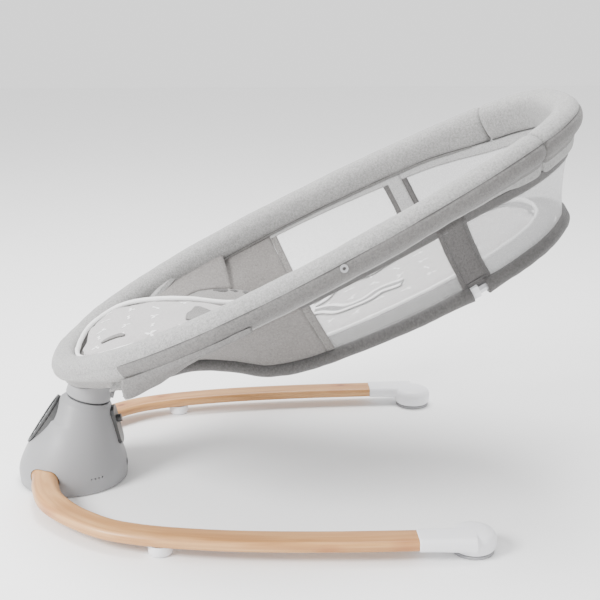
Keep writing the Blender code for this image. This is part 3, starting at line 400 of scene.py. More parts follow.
# Dark thread; along the roll's seams its darkness is partly painted shade of the seam's groove.
THREAD_AND_SEAM_SHADE = tape("dark_thread_and_seam_shade", (0.085, 0.082, 0.08), 1600.0)
SIDE_MESH = spacer_mesh("side_mesh", (0.150, 0.148, 0.146), (0.030, 0.030, 0.030))
BINDING_MESH = spacer_mesh("binding_mesh", (0.19, 0.18, 0.172), (0.035, 0.034, 0.033))
HEM_MESH = spacer_mesh("hem_mesh", (0.36, 0.357, 0.354), (0.15, 0.15, 0.15), 640.0)
CLEAR_NET = net("window_net", (0.62, 0.62, 0.62), 0.93)
HEAD_NET = net("head_net", (0.62, 0.62, 0.625), 0.62)
SHELL = moulded("grey_shell", (0.27, 0.27, 0.277), 0.46)
WHITE = moulded("white_shell", (0.80, 0.80, 0.82), 0.38)
GLOSS = moulded("dark_gloss", (0.012, 0.013, 0.014), 0.42, depth=0.00002)
SMOKED = moulded("dark_satin", (0.022, 0.023, 0.025), 0.5)
BOARD = moulded("board_plastic", (0.27, 0.27, 0.27), 0.5)
ICON = moulded("icon_print", (0.62, 0.64, 0.66), 0.5)
GRIP = rubber("black_grip", (0.045, 0.045, 0.047))
SOLE = rubber("grey_sole", (0.36, 0.36, 0.37))
WOOD = wood("leg_wood")
STEEL = metal("steel_parts", (0.56, 0.56, 0.57), 0.28, (90, 90, 900))
COPPER = metal("copper_coil", (0.62, 0.30, 0.15), 0.32, (40, 40, 2600))
TUBING = metal("tube_finish", (0.63, 0.63, 0.65), 0.34, (60, 900, 900))
CIRCUIT = circuit("circuit_board_face")

# ---------------------------------------------------------------- mesh helpers


def make_mesh(name, points, faces, finish, body="seat", smooth=True):
    """A mesh object with outward faces, which rides on a body."""
    work = bmesh.new()
    corners = [work.verts.new(point) for point in points]
    for face in faces:
        work.faces.new([corners[i] for i in face])
    return from_work(name, work, finish, body, smooth)


def from_work(name, work, finish, body, smooth=True):
    """Turns a bmesh into an object that rides on a body and has the finish as its material."""
    bmesh.ops.remove_doubles(work, verts=work.verts, dist=0.00001)
    bmesh.ops.recalc_face_normals(work, faces=work.faces)
    mesh = bpy.data.meshes.new(name)
    work.to_mesh(mesh)
    work.free()
    made = bpy.data.objects.new(name, mesh)
    bpy.context.scene.collection.objects.link(made)
    mesh.materials.append(finish)
    for polygon in mesh.polygons:
        polygon.use_smooth = smooth
    if body:
        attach(made, body)
    return made


def loft(name, rings, finish, body="seat", closed=False, caps=True, smooth=True):
    """A skin over rings of the same number of points, each ring a closed outline."""
    count = len(rings[0])
    points = [point for ring in rings for point in ring]
    faces = []
    for i in range(len(rings) if closed else len(rings) - 1):
        start, after = i * count, (i + 1) % len(rings) * count
        for j in range(count):
            k = (j + 1) % count
            faces.append((start + j, start + k, after + k, after + j))
    if caps and not closed:
        faces.append(tuple(range(count)))
        faces.append(tuple(range(len(points) - count, len(points))))
    return make_mesh(name, points, faces, finish, body, smooth)


def slab(name, rows, thickness, finish, body="seat"):
    """A cloth panel of a real thickness over rows of points, with its edge closed."""
    wide = len(rows[0])
    points = [point for row in rows for point in row]
    faces = []
    for i in range(len(rows) - 1):
        for j in range(wide - 1):
            a = i * wide + j
            faces.append((a, a + 1, a + wide + 1, a + wide))
    made = make_mesh(name, points, faces, finish, body)
    shell = made.modifiers.new("thickness", "SOLIDIFY")
    shell.thickness = thickness
    shell.offset = 0
    apply_modifiers(made)
    return made


def apply_modifiers(made):
    """Replaces an object's mesh by what its modifiers make of it."""
    graph = bpy.context.evaluated_depsgraph_get()
    baked = bpy.data.meshes.new_from_object(made.evaluated_get(graph))
    old = made.data
    made.modifiers.clear()
    made.data = baked
    bpy.data.meshes.remove(old)


def carve(made, *cutters):
    """Cuts the cutters' shapes out of a piece and removes them."""
    for cutter in cutters:
        bite = made.modifiers.new("cut", "BOOLEAN")
        bite.object = cutter
        bite.operation = "DIFFERENCE"
        bite.solver = "EXACT"
        apply_modifiers(made)
        bpy.data.objects.remove(cutter)


def soften(made, width, segments=2, angle=40):
    """Rounds the edges that are sharper than an angle."""
    edge = made.modifiers.new("round", "BEVEL")
    edge.width = width
    edge.segments = segments
    edge.limit_method = "ANGLE"
    edge.angle_limit = math.radians(angle)
    edge.harden_normals = False
    apply_modifiers(made)


def smooth_by_angle(made, angle=35):
    """Smooth shading, with the edges sharper than an angle left sharp."""
    mesh = made.data
    mesh.polygons.foreach_set("use_smooth", [True] * len(mesh.polygons))
    mesh.set_sharp_from_angle(angle=math.radians(angle))


def spline(points, per_span):
    """A Catmull-Rom curve through the points."""
    points = [Vector(point) for point in points]
    ends = [2 * points[0] - points[1], *points, 2 * points[-1] - points[-2]]
    curve = []
    for i in range(1, len(ends) - 2):
        a, b, c, d = ends[i - 1 : i + 3]
        for step in range(per_span):
            t = step / per_span
            square = (2 * a - 5 * b + 4 * c - d) * t**2
            cube = (3 * b - a - 3 * c + d) * t**3
            curve.append(0.5 * (2 * b + (c - a) * t + square + cube))
    return [*curve, points[-1]]


def evenly(points, count):
    """The same line with that many points, evenly spaced."""
    far = [0.0]
    for before, after in zip(points, points[1:]):
        far.append(far[-1] + (after - before).length)
    found, place = [], 0
    for i in range(count):
        want = far[-1] * i / (count - 1)
        while place < len(points) - 2 and far[place + 1] < want:
            place += 1
        span = far[place + 1] - far[place]
        found.append(points[place].lerp(points[place + 1], (want - far[place]) / span if span else 0))
    return found


def heading(line, i):
    """The direction of a line at its point i."""
    return (line[min(i + 1, len(line) - 1)] - line[max(i - 1, 0)]).normalized()


def line_length(points):
    """The length of a line of points."""
    return sum((after - before).length for before, after in zip(points, points[1:]))


def read_line(points, where):
    """The second coordinate of a line at a value of its first."""
    for before, after in zip(points, points[1:]):
        if before[0] <= where <= after[0]:
            share = (where - before[0]) / max(1e-9, after[0] - before[0])
            return before[1] + (after[1] - before[1]) * share
    return points[0][1] if where < points[0][0] else points[-1][1]


def ease(value):
    """A smooth step from 0 to 1."""
    value = min(1.0, max(0.0, value))
    return value * value * (3 - 2 * value)


def seat_points(points):
    """Points of the seat's plane, put in the world."""
    return [SEAT @ Vector(point) for point in points]


def swept(name, path, section, finish, body="seat", up=None, closed=False, caps=True):
    """Sections along a path. section(i) gives (out, up) pairs; up is fixed, or carried along the path."""
    rings = []
    normal = Vector(up) if up is not None else None
    for i, here in enumerate(path):
        before = path[i - 1] if i or closed else path[0]
        after = path[(i + 1) % len(path)] if i + 1 < len(path) or closed else path[-1]
        ahead = (after - before).normalized()
        if normal is None:
            normal = ahead.orthogonal().normalized()
        out = normal.cross(ahead).normalized()
        lift = ahead.cross(out).normalized()
        if up is None:
            normal = lift
        rings.append([here + out * a + lift * b for a, b in section(i)])
    return loft(name, rings, finish, body, closed, caps)


def round_section(radius, sides=14, squash=1.0):
    """A circle, or an oval where squash is under 1."""
    turns = [2 * math.pi * i / sides for i in range(sides)]
    return [(radius * math.cos(t), radius * squash * math.sin(t)) for t in turns]


def tube(name, path, radius, finish, body="seat", sides=12, closed=False):
    outline = round_section(radius, sides)
    return swept(name, path, lambda i: outline, finish, body, closed=closed)


def rounded_box_outline(width, height, radius, per_corner=6):
    """A rectangle with round corners."""
    outline = []
    for corner, (side_x, side_y) in enumerate(((1, 1), (-1, 1), (-1, -1), (1, -1))):
        for i in range(per_corner):
            turn = math.pi / 2 * (corner + i / (per_corner - 1))
            x = side_x * (width / 2 - radius) + radius * math.cos(turn)
            y = side_y * (height / 2 - radius) + radius * math.sin(turn)
            outline.append((x, y))
    return outline


def ruffle(made, scale, depth, where=lambda point: 1.0, seed=0.0):
    """Pushes a mesh in and out along its normals by a smooth noise."""
    offset = Vector((seed, seed * 0.7, seed * 1.3))
    normals = [vertex.normal.copy() for vertex in made.data.vertices]
    for vertex, normal in zip(made.data.vertices, normals):
        amount = noise.noise(vertex.co * scale + offset) * depth * where(vertex.co)
        vertex.co += normal * amount
    made.data.update()


def facing(point, normal, up=(0, 0, 1)):
    """A frame at a point, with its Z along the normal."""
    z = Vector(normal).normalized()
    x = Vector(up).cross(z).normalized()
    y = z.cross(x)
    return Matrix.Translation(point) @ Matrix((x, y, z)).transposed().to_4x4()


def turned(name, profile, finish, place, body, segments=72):
    """A profile of (radius, height) turned round the Z axis of a frame."""
    rings = []
    for radius, height in profile:
        ring = []
        for i in range(segments):
            turn = 2 * math.pi * i / segments
            ring.append(place @ Vector((radius * math.cos(turn), radius * math.sin(turn), height)))
        rings.append(ring)
    return loft(name, rings, finish, body)


def prism(name, outline, low, high, finish, place, body):
    """An outline drawn out between two heights of a frame."""
    rings = [[place @ Vector((x, y, z)) for x, y in outline] for z in (low, high)]
    return loft(name, rings, finish, body, smooth=False)


# ---------------------------------------------------------------- base

BASE_RADIUS = 0.0755
BASE_WALL = 0.0025
FRONT_LINE = ((-0.0755, 0.0012), (-0.0755, 0.0235), (-0.062, 0.0535), (-0.0387, 0.0871), (-0.0155, 0.1207))
REAR_LINE = ((0.0755, 0.0012), (0.0755, 0.0235), (0.0697, 0.0485), (0.0635, 0.080), (0.0575, 0.106))
NECK_RADIUS = 0.0317
PANEL_LENGTH = 0.082
PANEL_WIDTH = 0.056
PANEL_DEPTH = 0.013
PANEL_TOP = Vector((-0.0155, 0, 0.1207))
PANEL_FOOT = Vector((-0.0620, 0, 0.0535))
PANEL_SLOPE = PANEL_TOP - PANEL_FOOT
PANEL_FRAME = facing((PANEL_TOP + PANEL_FOOT) / 2, (-PANEL_SLOPE.z, 0, PANEL_SLOPE.x))
REAR_FRAME = facing((0.0636, 0, 0.07725), (0.978, 0, 0.208))
REAR_PLATE = (0.030, 0.056)
REAR_CORNER = 0.010
INLET_FRAME = facing((BASE_RADIUS, 0, 0.0185), (1, 0, 0))
INLET_RADIUS = 0.0059
SOUND_HOLES = 4
SOUND_HOLE_START = math.radians(-63.5)
SOUND_HOLE_STEP = math.radians(4.1)
SOUND_HOLE_HEIGHT = 0.0225
SOUND_HOLE_RADIUS = 0.0012
KEY_COUNT = 4
LAMP_COUNT = 5
LAMP_STEP = 0.006
GAP = 0.0004


def egg(grow=0.0, count=64):
    """The control panel's outline, wider at its upper end."""
    outline = []
    for i in range(count):
        turn = 2 * math.pi * i / count
        width = PANEL_WIDTH / 2 * (1 + 0.22 * math.sin(turn)) + grow
        outline.append((width * math.cos(turn), (PANEL_LENGTH / 2 + grow) * math.sin(turn)))
    return outline


def shoulder(point):
    """How far the housing steps in above the crease that runs out of the control panel's wide end."""
    turn = abs(math.atan2(point.y, -point.x))
    reach = 1 - ease((turn - math.radians(62)) / math.radians(40))
    crease = 0.099 - 0.005 * turn
    return 0.0020 * ease((point.z - crease) / 0.0016) * reach


def make_base():
    """The bell-shaped housing, a thin shell with its openings cut."""
    front = spline(((x, 0, z) for x, z in FRONT_LINE), 20)
    rear = spline(((x, 0, z) for x, z in REAR_LINE), 20)
    neck = [SWING @ Vector((side * NECK_RADIUS, 0, 0)) for side in (-1, 1)]
    neck_shares = (0.25, 0.5, 0.8, 1.0)
    last = [(front[-1].lerp(neck[0], share), rear[-1].lerp(neck[1], share)) for share in neck_shares]
    outer = []
    for low, high in [*zip(front, rear), *last]:
        middle, across = (low + high) / 2, (high - low) / 2
        ring = []
        for i in range(120):
            turn = 2 * math.pi * i / 120
            point = middle + across * math.cos(turn) + Vector((0, across.length * math.sin(turn), 0))
            inward = (middle - point).normalized()
            ring.append(point + inward * shoulder(point))
        outer.append(ring)
    centre = [sum(ring, Vector()) / len(ring) for ring in outer]
    inner = [
        [point + (middle - point).normalized() * BASE_WALL for point in ring]
        for ring, middle in zip(outer, centre)
    ]
    lip = [[point.lerp(other, 0.5) + Vector((0, 0, 0.0004)) for point, other in zip(outer[-1], inner[-1])]]
    shell = loft("base_shell", [*outer, *lip, *inner[::-1]], SHELL, "base", closed=True)
    cutters = [leg_solid("leg_hole", side, 0.0010, None) for _, side in SIDES]
    cutters.append(prism("panel_hole", egg(GAP), -PANEL_DEPTH - GAP, 0.02, WHITE, PANEL_FRAME, None))
    hole = rounded_box_outline(REAR_PLATE[0] + 2 * GAP, REAR_PLATE[1] + 2 * GAP, REAR_CORNER)
    cutters.append(prism("rear_hole", hole, -0.02, 0.02, WHITE, REAR_FRAME, None))
    hole = round_section(INLET_RADIUS, 24)
    cutters.append(prism("inlet_hole", hole, -0.02, 0.01, WHITE, INLET_FRAME, None))
    for i in range(SOUND_HOLES):
        turn = SOUND_HOLE_START + SOUND_HOLE_STEP * i
        outward = Vector((math.cos(turn), math.sin(turn), 0))
        place = facing(outward * BASE_RADIUS + Vector((0, 0, SOUND_HOLE_HEIGHT)), outward)
        hole = round_section(SOUND_HOLE_RADIUS, 12)
        cutters.append(prism("sound_hole", hole, -0.01, 0.01, WHITE, place, None))
    carve(shell, *cutters)
    smooth_by_angle(shell, 32)
    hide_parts("base_housing")


def make_controls():
    """A raised rim round the dark control panel and small generic marks on its keys."""
    edge = []
    for grow, height in (
        (0.0, -0.0020), (0.0, 0.0012), (-0.0008, 0.0020), (-0.0022, 0.0022),
        (-0.0034, 0.0014), (-0.0036, 0.0003), (-0.0012, 0.0003),
    ):
        edge.append([PANEL_FRAME @ Vector((x, y, height)) for x, y in egg(grow)])
    loft("panel_rim", edge, GLOSS, "base", closed=True)
    into_panel = PANEL_FRAME.inverted()
    for i in range(KEY_COUNT):
        low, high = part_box(f"panel_key_{i + 1}")
        face = into_panel @ ((low + high) / 2)
        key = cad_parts[f"panel_key_{i + 1}"]
        top = max((into_panel @ vertex.co).z for vertex in key.data.vertices)
        place = PANEL_FRAME @ Matrix.Translation((face.x, face.y, top + 0.0001))
        key_mark(f"key_mark_{i + 1}", i, place, f"key_{i + 1}")
    glow = PANEL_FRAME @ Matrix.Translation((0, 0, 0.0003))
    dot = round_section(0.0008, 16)
    for i in range(LAMP_COUNT):
        spot = glow @ Matrix.Translation((0.015, 0.020 - LAMP_STEP * i, 0))
        prism(f"level_lamp_{i + 1}", dot, -0.0002, 0.0002, ICON, spot, "base")


def key_mark(name, kind, place, body):
    """A thin raised sign: a disc, a bar, a triangle or a plus."""
    signs = (
        [(0.0020 * math.cos(t / 3), 0.0020 * math.sin(t / 3)) for t in range(19)],
        rounded_box_outline(0.0040, 0.0011, 0.0005, 4),
        [(-0.0014, -0.0018), (0.0020, 0.0), (-0.0014, 0.0018)],
        plus_outline(0.0021, 0.0005),
    )
    prism(name, signs[kind], -0.0001, 0.0001, ICON, place, body)


def plus_outline(reach, half):
    """A plus sign: its arms are reach long and twice half wide."""
    arm = [(half, half), (half, reach), (-half, reach)]
    outline = []
    for quarter in range(4):
        turn = Matrix.Rotation(quarter * math.pi / 2, 2)
        outline += [tuple(turn @ Vector(point)) for point in arm[:2]] + [tuple(turn @ Vector((-half, reach)))]
    return outline


COLLAR_LOW = 0.003
COLLAR_TOP = 0.1425
RELEASE_ROOM = (0.0092, 0.0132)


def make_collar():
    """The round collar above the housing, cut level where the seat's cover sits on it."""
    rings = []
    for inset, share, extra in (
        (0.0022, 0.0, 0.0012), (0.0010, 0.0, 0.0), (0.0003, 0.0, 0.0004), (0.0, 0.0, 0.0014),
        (0.0002, 0.3, 0), (0.0005, 0.6, 0), (0.0011, 1.0, 0), (0.0030, 1.0, 0),
    ):
        ring = []
        for i in range(120):
            turn = 2 * math.pi * i / 120
            radius = NECK_RADIUS - inset
            reach = radius * math.cos(turn)
            top = (COLLAR_TOP - NECK_CENTRE.z + reach * math.sin(AXIS_TILT)) / math.cos(AXIS_TILT)
            height = COLLAR_LOW + extra + (top - COLLAR_LOW) * share
            ring.append(SWING @ Vector((reach, radius * math.sin(turn), height)))
        rings.append(ring)
    collar = loft("collar_shell", rings, SHELL, "seat", closed=True)
    opening = rounded_box_outline(*RELEASE_ROOM, 0.001)
    carve(collar, prism("release_room", opening, 0.02, 0.04, WHITE, release_frame(), None))
    smooth_by_angle(collar, 32)
    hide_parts("seat_collar")


def release_frame():
    """A frame whose Z points out of the collar's back, through the release button."""
    return SWING @ Matrix.Translation((0, 0, 0.012)) @ Matrix.Rotation(math.pi / 2, 4, "Y")


# ---------------------------------------------------------------- legs

LEG_WIDTH = 0.036
LEG_THICKNESS = 0.015
LEG_ROOT_THICKNESS = 0.025
LEG_END = 0.478
LEG_LINE = (
    (-0.036, 0.040), (-0.030, 0.065), (-0.026, 0.090), (-0.011, 0.133), (0.022, 0.172), (0.062, 0.205),
    (0.099, 0.2225), (0.154, 0.2375), (0.239, 0.251), (0.350, 0.259), (LEG_END, 0.262),
)
LEG_POINTS = spline(((x, y, 0) for x, y in LEG_LINE), 7)
LEG_FLOOR = 0.0105
LEG_LIFT = 0.0035
LEG_RISE_START = -0.030
LEG_RISE_END = 0.030
MID_FOOT_X = 0.138
MID_FOOT_PROFILE = (
    (0.0001, 0), (0.0138, 0), (0.0149, 0.0008), (0.0155, 0.0026), (0.0155, 0.0128), (0.0151, 0.0136),
    (0.0001, 0.0136),
)
CAP_START = 0.455
CAP_FOOT = Vector((0.5276, 0.2489, 0))
CAP_TOP = 0.0304
SOLE_TOP = 0.0039


def leg_section(index, side, grow):
    """The leg's rounded section at a point of its line: thick and round at the base, flatter behind."""
    here = LEG_POINTS[index]
    ahead = heading(LEG_POINTS, index)
    across = Vector((-ahead.y, ahead.x, 0))
    rise = min(1.0, max(0.0, (here.x - LEG_RISE_START) / (LEG_RISE_END - LEG_RISE_START)))
    thick = LEG_ROOT_THICKNESS + (LEG_THICKNESS - LEG_ROOT_THICKNESS) * ease(rise)
    floor = LEG_FLOOR + LEG_LIFT * rise
    full = thick + 2 * grow
    section = []
    corner = full * (0.485 - 0.065 * rise)
    for x, z in rounded_box_outline(LEG_WIDTH + 2 * grow, full, corner, 8):
        flat = here + across * x
        section.append(Vector((flat.x, side * flat.y, floor + thick / 2 + z)))
    return section


def leg_solid(name, side, grow, finish, first=0):
    """A leg from one of its points on, or a cutter of its shape where no finish is given."""
    rings = [leg_section(i, side, grow) for i in range(first, len(LEG_POINTS))]
    return loft(name, rings, finish or WHITE, "base" if finish else None)


def add_grain(made, side):
    """Stores how far along, across and up the leg each vertex is, for the wood's figure."""
    line = evenly(LEG_POINTS, 260)
    step = line_length(line) / (len(line) - 1)
    grain = made.data.attributes.new("grain", "FLOAT_VECTOR", "POINT")
    for vertex in made.data.vertices:
        flat = Vector((vertex.co.x, side * vertex.co.y, 0))
        near = min(range(len(line)), key=lambda i: (line[i] - flat).length_squared)
        ahead = heading(line, near)
        off = flat - line[near]
        along = near * step + off.dot(ahead)
        across = off.dot(Vector((-ahead.y, ahead.x, 0)))
        grain.data[vertex.index].vector = (along + 0.41 * side, across + 0.03 * side, vertex.co.z)


def make_legs():
    """Both wood-look legs, each with its end cap and its middle foot."""
    for label, side in SIDES:
        leg = leg_solid(f"{label}_leg_wood", side, 0, WOOD)
        smooth_by_angle(leg, 50)
        add_grain(leg, side)
        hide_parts(f"{label}_leg")
        make_cap(label, side)
        foot = Matrix.Translation((MID_FOOT_X, side * read_line(LEG_POINTS, MID_FOOT_X), 0))
        stud = turned(f"{label}_mid_stud", MID_FOOT_PROFILE, WHITE, foot, "base")
        smooth_by_angle(stud, 40)
        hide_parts(f"{label}_mid_foot")


def make_cap(label, side):
    """A moulded sleeve that flows into a round foot, blended by a fine remesh."""
    middle = LEG_FLOOR + LEG_LIFT + LEG_THICKNESS / 2
    rings = []
    for x, more in (
        (CAP_START, 0), (CAP_START + 0.012, 0), (CAP_START + 0.03, 0.0004),
        (CAP_FOOT.x - 0.012, 0.002), (CAP_FOOT.x, 0.004),
    ):
        wide, tall = LEG_WIDTH + 0.0028 + more, LEG_THICKNESS + 0.0028 + more
        y = side * read_line(LEG_POINTS, min(x, LEG_END))
        outline = rounded_box_outline(wide, tall, tall * 0.42, 8)
        rings.append([Vector((x, y + a, middle - more / 2 + b)) for a, b in outline])
    cap = loft(f"{label}_cap_shell", rings, WHITE, "base")
    profile = (
        (0.0001, CAP_TOP), (0.016, CAP_TOP - 0.0006), (0.0245, CAP_TOP - 0.0036), (0.0282, CAP_TOP - 0.0080),
        (0.0290, CAP_TOP - 0.0125), (0.0284, 0.0075), (0.0262, SOLE_TOP), (0.0001, SOLE_TOP),
    )
    place = Matrix.Translation((CAP_FOOT.x, side * CAP_FOOT.y, 0))
    foot = turned("cap_foot", profile, WHITE, place, None)
    union = cap.modifiers.new("foot", "BOOLEAN")
    union.object = foot
    union.operation = "UNION"
    apply_modifiers(cap)
    bpy.data.objects.remove(foot)
    remesh = cap.modifiers.new("blend", "REMESH")
    remesh.mode = "VOXEL"
    remesh.voxel_size = 0.0012
    apply_modifiers(cap)
    relax = cap.modifiers.new("relax", "SMOOTH")
    relax.factor = 0.5
    relax.iterations = 9
    apply_modifiers(cap)
    carve(cap, leg_solid("leg_room", side, 0.0004, None, len(LEG_POINTS) - 12))
    smooth_by_angle(cap, 45)
    cap.data.materials.clear()
    cap.data.materials.append(WHITE)
    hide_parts(f"{label}_end_cap")


# ---------------------------------------------------------------- rim and tubes


RIM_FOOT_POWER = 0.98
RIM_HEAD_POWER = 0.62
RIM_FOOT_WIDER = 0.105


def rim(turn):
    """The rim's centre line in the seat's plane: foot at 0, left side, head at pi, then the right side."""
    share = (1 - math.cos(turn)) / 2
    power = RIM_FOOT_POWER + (RIM_HEAD_POWER - RIM_FOOT_POWER) * share
    half = SEAT_WIDTH / 2 * abs(math.sin(turn)) ** power * (1 + RIM_FOOT_WIDER * math.cos(turn))
    return Vector((SEAT_LENGTH * share, math.copysign(half, math.sin(turn)), 0))


def rim_span(start, end, count):
    """The part of the rim line between two turns."""
    fine = [rim(start + (end - start) * i / 1500) for i in range(1501)]
    return evenly(fine, count)


RIM_HALF_LINE = [(point.x, point.y) for point in rim_span(0, math.pi, 400)]
CRADLE = spline(
    [(0.080, 0.060, -0.0455)]
    + [
        (SEAT_LENGTH * u, CRADLE_HALF * v, CRADLE_DEPTH * w)
        for u, v, w in (
            (0.138, 0.650, -0.370), (0.219, 0.926, -0.350), (0.262, 0.975, -0.420), (0.303, 1.000, -0.565),
            (0.352, 1.000, -0.768), (0.425, 1.000, -0.890), (0.570, 0.990, -0.980), (0.717, 0.957, -1.000),
            (0.837, 0.772, -1.000), (0.910, 0.401, -1.000), (0.930, 0.000, -1.000),
        )
    ],
    12,
)
SLEEVE_START = 0.086
SLEEVE_RADIUS = 0.0092
CLIP_START = 0.531
CLIP_END = 0.552
OUTER_SEAM = 2 * math.pi * 2 / 56
HEAD_SEAM = math.radians(143.5)
INNER_SEAM = math.radians(231)


def mirrored(points, side):
    """The same points, on the left where side is 1 and on the right where it is -1."""
    return [Vector((point.x, side * point.y, point.z)) for point in points]


def roll_below(u):
    """How deep the roll is under its centre line: flat at the foot, and fullest a little behind it."""
    fuller = FOOT_DEEPER * (ease((u - 0.07) / 0.06) - ease((u - 0.14) / 0.16))
    return ROLL_BELOW + fuller - FOOT_FLATTER * (1 - ease((u - 0.03) / 0.07))


def inner_drop(u):
    """How much lower the roll's inner side hangs than its outer side: most at the head."""
    return 0.0095 * ease((u - 0.12) / 0.16) + 0.0150 * ease((u - 0.56) / 0.14)


def roll_section(tight=1.0, below=ROLL_BELOW, inner=0.0, count=56):
    """The padded roll: round on top, deeper and flatter below, and pinched at its two seams."""
    outline = []
    for i in range(count):
        turn = 2 * math.pi * i / count
        height = ROLL_ABOVE if math.sin(turn) >= 0 else below
        pinch = 0.0
        for seam, depth in ((OUTER_SEAM, 0.085), (INNER_SEAM, 0.075)):
            away = math.atan2(math.sin(turn - seam), math.cos(turn - seam))
            pinch += depth * math.exp(-((away / 0.075) ** 2))
        swell = (1 - pinch) * tight
        x = math.copysign(abs(math.cos(turn)) ** 0.9, math.cos(turn))
        if math.sin(turn) < 0 and math.cos(turn) < 0.25:
            height += inner * ease((0.25 - math.cos(turn)) / 0.8)
        outline.append((ROLL_HALF * x * swell, height * math.sin(turn) * swell))
    return outline


def roll(name, start, end, *nodes):
    """One padded stretch of the rim, between two turns, in place of its CAD nodes."""
    count = max(24, int(line_length(rim_span(start, end, 200)) / 0.0045))
    path = rim_span(start, end, count)
    far = line_length(path)

    def section(i):
        near_end = min(i, count - 1 - i) * far / (count - 1)
        tuck = 1 - 0.16 * math.exp(-near_end / 0.003)
        return roll_section(tuck, roll_below(path[i].x), inner_drop(path[i].x))

    made = swept(name, path, section, RIM_CLOTH, None, up=(0, 0, 1))
    shade_band(made, path)
    ruffle(made, 16, 0.0013, lambda point: 0.7 + 0.6 * ease((0.12 - point.x) / 0.12), 3.1)
    ruffle(made, 55, 0.0005, seed=1.7)
    made.data.transform(SEAT)
    made.data.update()
    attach(made, "seat")
    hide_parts(*nodes)


def shade_band(made, path, count=56):
    """Paints shade on the outer face below the seam by giving it the darker band cloth, except at the foot.
    """
    made.data.materials.append(BAND_SHADE_AND_FLAP_CLOTH)
    foot = rim(BAND_START).x
    for polygon in made.data.polygons[: (len(path) - 1) * count]:
        turn = 2 * math.pi * (polygon.index % count + 0.5) / count
        ring = polygon.index // count
        if path[ring].x > foot and (turn < OUTER_SEAM or turn > 1.5 * math.pi):
            polygon.material_index = 1


def make_rolls():
    """The long roll, the head bolster and the two lines of stitches round them."""
    gap = 0.0016 / SEAT_LENGTH
    roll("rim_roll", gap - HEAD_SEAM, HEAD_SEAM - gap, "left_rim_pad", "right_rim_pad", "foot_rim_pad")
    roll("head_rim_roll", HEAD_SEAM + gap, 2 * math.pi - HEAD_SEAM - gap, "head_rim_pad")
    path = rim_span(BAND_START, 2 * math.pi - BAND_START, 420)
    seams = (("outer_seam_thread", OUTER_SEAM, 0.922), ("inner_seam_thread", INNER_SEAM, 0.935))
    for name, turn, swell in seams:
        out = ROLL_HALF * math.copysign(abs(math.cos(turn)) ** 0.9, math.cos(turn)) * swell
        lifts = []
        for here in path:
            below = roll_below(here.x) + (inner_drop(here.x) if math.cos(turn) < 0 else 0)
            lifts.append((ROLL_ABOVE if math.sin(turn) >= 0 else below) * math.sin(turn) * swell)
        line = offset_line(path, out, lifts)
        # The seam threads are real stitches whose dark colour also paints the shade in the seam's groove.
        thread(name, line)


def offset_line(path, out, lifts):
    """A line beside a path in the seat's plane, outward and up."""
    found = []
    for i, here in enumerate(path):
        ahead = heading(path, i)
        sideways = Vector((0, 0, 1)).cross(ahead)
        found.append(here + sideways * out + Vector((0, 0, lifts[i])))
    return found


SKIRT_DROP = spline(
    [(0.100, 0.0350, 0), (0.120, 0.0385, 0), (0.142, 0.0360, 0), (0.168, 0.0300, 0),
     (0.195, 0.0250, 0), (0.220, 0.0235, 0), (0.250, 0.0210, 0), (0.278, 0.0160, 0)],
    6,
)


def make_skirts():
    """The band's lower edge, which hangs deeper towards the foot and wraps the frame's arms."""
    for label, side in SIDES:
        low_edge, rows = [], []
        path = rim_span(BAND_START, math.radians(75), 60)
        for i, here in enumerate(path):
            out = Vector((0, 0, 1)).cross(heading(path, i))
            drop = read_line(SKIRT_DROP, here.x)
            lean = 0.5 * (1 - ease(i / 16))
            row = []
            for shift, height in (
                (0.0155, -0.014), (0.0168, -0.020), (0.0158, -(0.018 + drop) / 2), (0.0120, -drop + 0.001),
                (0.0085, -drop - 0.0014), (0.0040, -drop), (-0.0060, -drop + 0.004), (-0.0140, -drop + 0.012),
            ):
                row.append(here + out * shift + Vector((lean * height, 0, height)))
            rows.append(seat_points(mirrored(spline(row, 4), side)))
            low_edge.append(here + out * 0.0128 + Vector((-lean * drop, 0, -drop + 0.0042)))
        # The skirt's darker band cloth is painted shade under the roll.
        skirt = slab(f"{label}_rim_skirt", rows, 0.0014, BAND_SHADE_AND_FLAP_CLOTH)
        ruffle(skirt, 40, 0.0010, seed=side)
        declare_sheet(rows, 12)
        thread(f"{label}_skirt_thread", mirrored(low_edge, side))


def thread(name, line, radius=0.0006):
    """A row of dark stitches along a line in the seat's plane; on the roll's seams their darkness is partly
    painted shade of the seam's groove.
    """
    tube(name, seat_points(line), radius, THREAD_AND_SEAM_SHADE, sides=6)


def declare_sheet(rows, column=None):
    """Picks a column of the rows, the middle one when none is given, and does nothing more with it.
    Declares a stretched sheet, whose flat size is its built panel's with a little to spare.
    """
    if column is None:
        column = len(rows[0]) // 2


POUCH_HALF = 0.140
POUCH_BACK = 0.1140
POUCH_LEVEL = 0.1424
POUCH_FULLNESS = 0.015
LOBE_LEVEL = -0.0610
LOBE_START = 0.07


